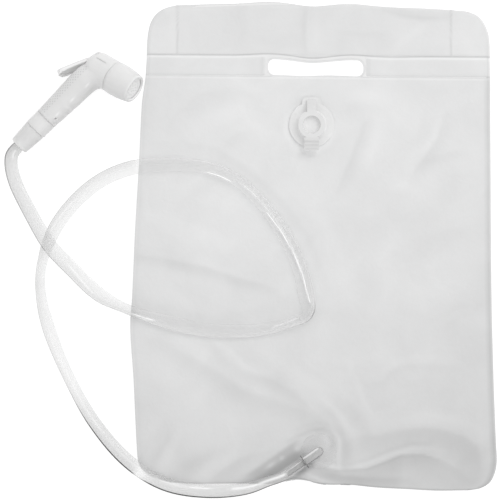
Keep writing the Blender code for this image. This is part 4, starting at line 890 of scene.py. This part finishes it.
class HoseOperator(bpy.types.Operator):
    """Lays the hose, flattened and twisted, from the outlet to the nut"""
    bl_idname = "shower_bag.hose"
    bl_label = "Hose"

    def execute(self, context):
        settings = context.scene.shower_bag_hose
        path = self.stations_along()
        width, roll = path[:, 3], np.radians(path[:, 4])
        height = np.clip(HOSE_ROUND - (width - HOSE_ROUND) * settings.squash, HOSE_FLAT, HOSE_ROUND)
        upright = 2.1 * np.hypot(np.sin(roll) * width / 2, np.cos(roll) * height / 2)
        rest = np.maximum.reduce([film_top(path[:, 0] + shift * width / 2, path[:, 1] + other * width / 2)
                                  for shift, other in ((0, 0), (0.7, 0), (-0.7, 0), (0, 0.7), (0, -0.7))])
        middle = np.maximum(path[:, 2], rest + upright / 2 + HOSE_LIFT)
        for _ in range(3):
            middle[1:-1] = np.maximum(middle[1:-1], (middle[:-2] + middle[2:]) / 2)
        middle[[0, -1]] = path[[0, -1], 2]
        centre = np.column_stack((path[:, :2], middle))
        ahead = np.gradient(centre, axis=0)
        ahead /= np.linalg.norm(ahead, axis=1)[:, None]
        side = np.cross(ahead, (0, 0, 1.0))
        side /= np.linalg.norm(side, axis=1)[:, None]
        up = np.cross(side, ahead)
        wide = side * np.cos(roll)[:, None] + up * np.sin(roll)[:, None]
        tall = up * np.cos(roll)[:, None] - side * np.sin(roll)[:, None]
        turn = np.arange(HOSE_SIDES) * math.tau / HOSE_SIDES
        round_x, round_y = (np.sign(part) * np.abs(part) ** HOSE_SQUARENESS for part in (np.cos(turn), np.sin(turn)))
        points = (centre[:, None] + wide[:, None] * (width[:, None] / 2 * round_x)[..., None]
                  + tall[:, None] * (height[:, None] / 2 * round_y)[..., None])
        rings = len(centre)
        faces = grid_faces(rings, HOSE_SIDES, True)
        faces += [tuple(reversed(range(HOSE_SIDES))), tuple(range((rings - 1) * HOSE_SIDES, rings * HOSE_SIDES))]
        hose = link_mesh("hose_tube", points.reshape(-1, 3), faces, hose_finish(), "clear_hose")
        facing = (wide[:, None] * (np.cos(turn) / width[:, None])[..., None]
                  + tall[:, None] * (np.sin(turn) / height[:, None])[..., None])
        facing /= np.linalg.norm(facing, axis=2)[..., None]
        lateral = np.einsum("rsk,rk->rs", points - centre[:, None], side)
        lateral /= np.abs(lateral).max(axis=1)[:, None]
        self.paint(hose, centre, facing, lateral)
        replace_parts(hose, "hose")
        return {"FINISHED"}

    def paint(self, hose, centre, facing, lateral):
        """Painted tone and cover of the clear tube: grey sides, an open middle, a painted dark line of shade along its
        outer edge and painted highlight streaks.
        """
        x, y = centre[:, 0, None], centre[:, 1, None]
        station = np.arange(len(centre))[:, None] / HOSE_STEPS
        on_film = rise(x, -158, -150) * rise(y, -200, -190)
        at_foot = (1 - rise(y, -165, -110)) * (1 - on_film)
        near_nut = bell(station, HOSE_AT_NUT, 1.5)
        to_nut = rise(station, 31.0, 35.0)
        twist = sum(bell(station, place, 0.35) for place in HOSE_TWISTS)
        # Painted shade: the outer side is drawn denser and a dark line runs along its outer edge, wider at the foot,
        # towards the nut and at the kink
        grey_side = bell(lateral, -0.66, 0.30) - 0.35 * rise(lateral, -0.2, 0.5)
        kink = bell(station, HOSE_KINK, 0.9)
        inset = 0.10 * at_foot + 0.05 * near_nut + 0.05 * to_nut + 0.06 * kink
        line = rise(-lateral, 0.88 - inset, 0.97 - inset) * (0.25 + 0.75 * rise(facing[..., 2], -0.45, 0.05))
        tone = 0.74 + 0.10 * on_film - 0.10 * at_foot - 0.05 * to_nut - 0.06 * near_nut - 0.06 * twist
        # Painted shade on the inner side where the tube lies on the film
        tone = tone - 0.06 * on_film * bell(lateral, 0.55, 0.3)
        cover = 0.30 + 0.12 * grey_side + 0.10 * at_foot + 0.08 * to_nut + 0.05 * near_nut - 0.16 * on_film
        dark = 0.40 + 0.42 * at_foot - 0.28 * on_film + 0.08 * to_nut + 0.5 * kink
        tone = tone - dark * line
        cover = cover + (0.25 + 0.35 * at_foot + 0.1 * near_nut + 0.5 * kink) * line
        # Painted shade along the inner edge where the tube lies on the film
        tone -= 0.16 * rise(lateral, 0.90, 0.985) * on_film
        # Painted highlights: bright reflections along the tube
        for start, end, first, last, strength, half in HOSE_STREAKS:
            share = np.clip((station - start) / (end - start), 0, 1)
            middle = first + (last - first) * share
            ends = rise(station, start - 0.12, start + 0.12) * (1 - rise(station, end - 0.12, end + 0.12))
            streak = strength * ends * bell(lateral, middle, half) * (facing[..., 2] > 0)
            tone += (1.15 - tone) * streak
            cover += (0.97 - cover) * streak
        mark(hose, "hose_tone", np.clip(tone, 0.01, 1.0))
        mark(hose, "hose_cover", np.clip(cover, 0.01, 1.0))

    def stations_along(self):
        """Smooth curve through the stations, with their widths and rolls."""
        stations = HOSE_STATIONS
        padded = np.vstack((2 * stations[0] - stations[1], stations, 2 * stations[-1] - stations[-2]))
        result = []
        for before, start, end, after in zip(padded, padded[1:], padded[2:], padded[3:]):
            first, middle, last = (math.sqrt(np.linalg.norm((second - one)[:2]))
                                   for one, second in ((before, start), (start, end), (end, after)))
            leaving = ((start - before) / first - (end - before) / (first + middle) + (end - start) / middle) * middle
            arriving = ((end - start) / middle - (after - start) / (middle + last) + (after - end) / last) * middle
            result += [spread(step / HOSE_STEPS, start, end, leaving, arriving) for step in range(HOSE_STEPS)]
        return np.array(result + [stations[-1]])


class FilmOperator(bpy.types.Operator):
    """Makes the front and back films, the header's inner layer and the carry strip"""
    bl_idname = "shower_bag.film"
    bl_label = "Film bag"

    def execute(self, context):
        settings = context.scene.shower_bag_film
        shares, rows = film_lines(settings.grid_step)
        x, y = film_plan(shares, rows)
        top = np.maximum(film_top(x, y), EDGE_HEIGHT)
        faces = grid_faces(len(rows), len(shares))
        front = link_mesh("front_film", np.stack((x, y, top), -1).reshape(-1, 3), faces, film_finish(), "film")
        # The front film's tone with its painted shade and highlights
        shade = film_shade(x, y) + weld_and_seam_shade(x, y, shares, rows) + outlet_shade(x, y)
        mark(front, "film_shade", np.clip(shade, 0.05, 1.0))
        thicken(front, settings.thickness)
        cut_out(front, (slot_outline(), circle(VALVE, VALVE_HOLE), circle(OUTLET, OUTLET_HOLE)))
        self.shade_cut_edges(front, x, y, shade)
        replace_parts(front, "bag_front_panel")
        for thickness, layer in zip((settings.thickness, LINER_THICKNESS, settings.strip_thickness), LAYERS):
            self.lay_under(thickness, *layer)
        return {"FINISHED"}

    def shade_cut_edges(self, front, x, y, shade):
        """The cuts' new vertices take the shade of the nearest point of the film, a little lighter."""
        nearest = KDTree(x.size)
        for number, place in enumerate(zip(x.ravel(), y.ravel())):
            nearest.insert((*place, 0), number)
        nearest.balance()
        values = front.data.attributes["film_shade"].data
        for vertex in front.data.vertices:
            if values[vertex.index].value < 0.04:
                found = nearest.find((vertex.co.x / MM, vertex.co.y / MM, 0))[1]
                values[vertex.index].value = min(1.0, shade.ravel()[found] + 0.03)

    def lay_under(self, thickness, name, node, step, height, share_range, ends, slot_margin):
        """One of the flat layers under the front film, in the same plan."""
        places = outline_places()
        first, last, margin = ends
        row_range = (places[first] + margin, places[last] - margin)
        shares, rows = film_lines(step)
        shares, rows = (np.concatenate(([low], values[(values > low) * (values < high)], [high]))
                        for values, (low, high) in ((shares, share_range), (rows, row_range)))
        x, y = film_plan(shares, rows)
        points = np.stack((x, y, np.full_like(x, height)), -1).reshape(-1, 3)
        layer = link_mesh(name, points, grid_faces(len(rows), len(shares)), layer_finish(),
                          "clear_fitting" if node == "handle_strip" else "film")
        thicken(layer, thickness)
        if slot_margin is None:
            apply_modifiers(layer)
        else:
            cut_out(layer, (slot_outline(slot_margin),))
        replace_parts(layer, node)
        node == "bag_back_panel"
        node == "header_liner"


class FittingOperator(bpy.types.Operator):
    """Finishes the filler valve, its plug and the outlet as clear mouldings"""
    bl_idname = "shower_bag.fittings"
    bl_label = "Clear fittings"

    def execute(self, context):
        refinish("filler_valve", fitting_finish("clear_seat", 0.69, 0.92, 0.05, 0.16))
        refinish("filler_plug", plug_finish())
        dark = rim_finish()
        dome = fitting_finish("clear_dome", 0.70, 0.07, 0.08)
        spout = fitting_finish("clear_spout", 0.58, 0.50)
        tail = fitting_finish("clear_tail", 0.44, 0.70)
        for name, outline, matrix, look in (("outlet_dome", DOME_OUTLINE, OUTLET_FRAME, dome),
                                            ("outlet_spout", SPOUT_OUTLINE, SPOUT_FRAME, spout),
                                            ("outlet_collar", COLLAR_OUTLINE, SPOUT_FRAME, dark),
                                            ("outlet_tail", barbed_outline(), SPOUT_FRAME, tail)):
            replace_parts(turned(name, outline, matrix, look, "clear_fitting", 64), "outlet_fitting")
        return {"FINISHED"}


class HandsetOperator(bpy.types.Operator):
    """Makes the soft-edged grip, nozzle sleeve and nut, and finishes the rest of the handset"""
    bl_idname = "shower_bag.handset"
    bl_label = "Handset"

    def execute(self, context):
        settings = context.scene.shower_bag_handset
        milky = milky_finish(settings.tone)
        self.make_grip(settings, milky)
        sleeve = turned("sleeve_moulding", SLEEVE_OUTLINE, NOZZLE_FRAME, milky)
        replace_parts(sleeve, "nozzle_sleeve")
        nut = turned("nut_moulding", NUT_OUTLINE, HANDLE_FRAME, milky)
        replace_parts(nut, "hose_nut")
        self.make_lever(settings, milky)
        refinish("inlet_connector", milky)
        white = plain_finish("white_plastic", 0.82, 0.4, 300.0)
        for node in ("spring_retainer", "valve_stem", "stem_gland", "lever_pin"):
            refinish(node, white)
        refinish("spray_plate", plain_finish("spray_face", 0.86, 0.45, 600.0))
        rubber = plain_finish("seal_rubber", 0.05, 0.7, 500.0)
        for node in ("inlet_washer", "valve_washer", "stem_seal_ring", "spray_plate_gasket"):
            refinish(node, rubber)
        self.make_spring(plain_finish("spring_steel", 0.7, 0.3, 800.0, 1.0))
        return {"FINISHED"}

    def make_spring(self, steel):
        """The return spring, copied from its CAD node with a mesh of its own; the real spring shortens towards its
        retainer as the stem is pushed in.
        """
        spring = copy_node("spring_winding", "return_spring", steel)
        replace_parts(spring, "return_spring")
        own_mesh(spring)

    def make_grip(self, settings, milky):
        """The handle and head with soft edges, its slit and moulding hole cut afterwards."""
        grip = copy_node("grip_moulding", "handle_body", milky)
        add_rounding(grip, settings.rounding, 5)
        apply_modifiers(grip)
        across = NOZZLE_FRAME @ Matrix(((1, 0, 0, 0), (0, 0, 1, 0), (0, 1, 0, 0), (0, 0, 0, 1)))
        cut_out(grip, (SLIT,), *SLIT_CUT, across)
        outward = Vector((VENT[0], VENT[1], 0)).to_track_quat("Z", "Y").to_matrix().to_4x4()
        cut_out(grip, (circle((0, 0), VENT_RADIUS, 16),), *VENT_CUT,
                HANDLE_FRAME @ Matrix.Translation(Vector(VENT) * MM) @ outward)
        self.paint_grip(grip)
        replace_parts(grip, "handle_body")

    def make_lever(self, settings, milky):
        """The thumb lever with soft edges, the shallow hollow of its underside and painted light on that underside."""
        lever = copy_node("lever_moulding", "trigger_lever", milky, "lever")
        add_rounding(lever, settings.rounding, 3)
        apply_modifiers(lever)
        to_lever = LEVER_FRAME.inverted()
        low_x, high_x, half, rim, ceiling = LEVER_HOLLOW
        painted_tones = []
        for vertex in lever.data.vertices:
            x, y, z = to_lever @ vertex.co / MM
            # Painted light: the lever's underside is drawn lighter
            painted_tones.append(0.24 * float(1 - rise(y, -1.6, 0.4)))
            if low_x < x < high_x and abs(z) < half and rim < y < ceiling:
                lift = (rim - y) * 0.8
                vertex.co += LEVER_FRAME.to_3x3() @ Vector((0, lift * MM, 0))
        mark(lever, "grip_painted_light_and_shade", painted_tones)
        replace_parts(lever, "trigger_lever")

    def paint_grip(self, grip):
        """Closes the seam at the grip's foot; marks the handle's painted shade, its painted glints and its dotted band.
        """
        to_handle = HANDLE_FRAME.inverted()
        painted_tones, dots, lengths, turns = [], [], [], []
        for vertex in grip.data.vertices:
            x, y, along = to_handle @ vertex.co / MM
            if along < FOOT_SEAM:
                outward = Vector((x, y, 0)).normalized() * 0.2 if math.hypot(x, y) > 9 else Vector()
                vertex.co += HANDLE_FRAME.to_3x3() @ (outward - Vector((0, 0, 0.25))) * MM
            # Painted glints along the handle, and painted shade that darkens the handle away from the head
            glints = sum(math.exp(-(((along - place) / 2.6) ** 2 + ((x - across) / 0.6) ** 2))
                        for place, across in HANDLE_GLINTS) if y < 0 else 0
            painted_tones.append(-0.03 * float(rise(-along, 8, 20)) + 0.13 * glints)
            angle = math.degrees(math.atan2(-y, -x))
            dots.append(float(rise(-along, 2, 6) * (1 - rise(-along, 58, 60)) * rise(angle, 14, 20)
                              * (1 - rise(angle, 84, 92))))
            lengths.append(along * math.pi / DOT_PITCH)
            turns.append(math.radians(angle) * GRIP_RADIUS * math.pi / DOT_PITCH)
        for name, values in (("grip_painted_light_and_shade", painted_tones), ("grip_dots", dots), ("grip_along", lengths),
                             ("grip_turn", turns)):
            mark(grip, name, values)


def add_rounding(piece, voxel, rounds):
    """Rounds a moulding's edges."""
    remesh = piece.modifiers.new("mould", "REMESH")
    remesh.mode = "VOXEL"
    remesh.voxel_size = voxel
    remesh.use_smooth_shade = True
    smooth = piece.modifiers.new("round", "SMOOTH")
    smooth.factor, smooth.iterations = 0.5, rounds


def turned(name, outline, matrix, finish, slot="milky_plastic", sides=96):
    """A closed profile (along, radius in millimetres) turned about the matrix's Z axis."""
    points = []
    for step in range(sides):
        angle = math.tau * step / sides
        points += [matrix @ Vector((radius * MM * math.cos(angle), radius * MM * math.sin(angle), along * MM)) / MM
                   for along, radius in outline]
    count = len(outline)
    faces = [(step * count + index, (step + 1) % sides * count + index,
              (step + 1) % sides * count + (index + 1) % count, step * count + (index + 1) % count)
             for step in range(sides) for index in range(count)]
    piece = link_mesh(name, points, faces, finish, slot)
    piece.data.set_sharp_from_angle(angle=SHARP_ANGLE)
    return piece


def barbed_outline():
    """The outlet's tail: saw-tooth barbs that end in a plain tip."""
    pitch = TAIL_LENGTH / TAIL_BARBS
    points = [(TAIL_START, 0.1)]
    for barb in range(TAIL_BARBS):
        root = TAIL_START + barb * pitch
        points += [(root, TAIL_RADIUS + 0.3), (root + pitch - 0.05, TAIL_RADIUS)]
    return points + [(TAIL_START + TAIL_LENGTH, TAIL_RADIUS - 0.4), (TAIL_START + TAIL_LENGTH, 0.1)]


def refinish(node, finish):
    """Gives a kept CAD node its finish."""
    wear(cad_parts[node].data, finish)


class ShowerBagPanel(bpy.types.Panel):
    """Shows the shower bag's settings and the buttons that build it"""
    bl_idname = "VIEW3D_PT_shower_bag"
    bl_label = "Shower Bag"
    bl_space_type = "VIEW_3D"
    bl_region_type = "UI"
    bl_category = "Shower Bag"

    def draw(self, context):
        for group in SETTINGS:
            settings = getattr(context.scene, group)
            for name in settings.__annotations__:
                self.layout.prop(settings, name)
        for operator in OPERATORS:
            self.layout.operator(operator.bl_idname)


SETTINGS = {"shower_bag_film": FilmSettings, "shower_bag_hose": HoseSettings,
            "shower_bag_handset": HandsetSettings, "shower_bag_stage": StageSettings}
OPERATORS = (StageOperator, HoseOperator, FilmOperator, FittingOperator, HandsetOperator)


def register():
    for group, kind in SETTINGS.items():
        bpy.utils.register_class(kind)
        setattr(bpy.types.Scene, group, bpy.props.PointerProperty(type=kind))
    for kind in (*OPERATORS, ShowerBagPanel):
        bpy.utils.register_class(kind)


def unregister():
    for kind in reversed((*OPERATORS, ShowerBagPanel)):
        bpy.utils.unregister_class(kind)
    for group, kind in SETTINGS.items():
        delattr(bpy.types.Scene, group)
        bpy.utils.unregister_class(kind)


def main():
    register()
    bpy.ops.shower_bag.stage()
    bpy.ops.shower_bag.hose()
    bpy.ops.shower_bag.film()
    bpy.ops.shower_bag.fittings()
    bpy.ops.shower_bag.handset()


if __name__ == "__main__":
    main()
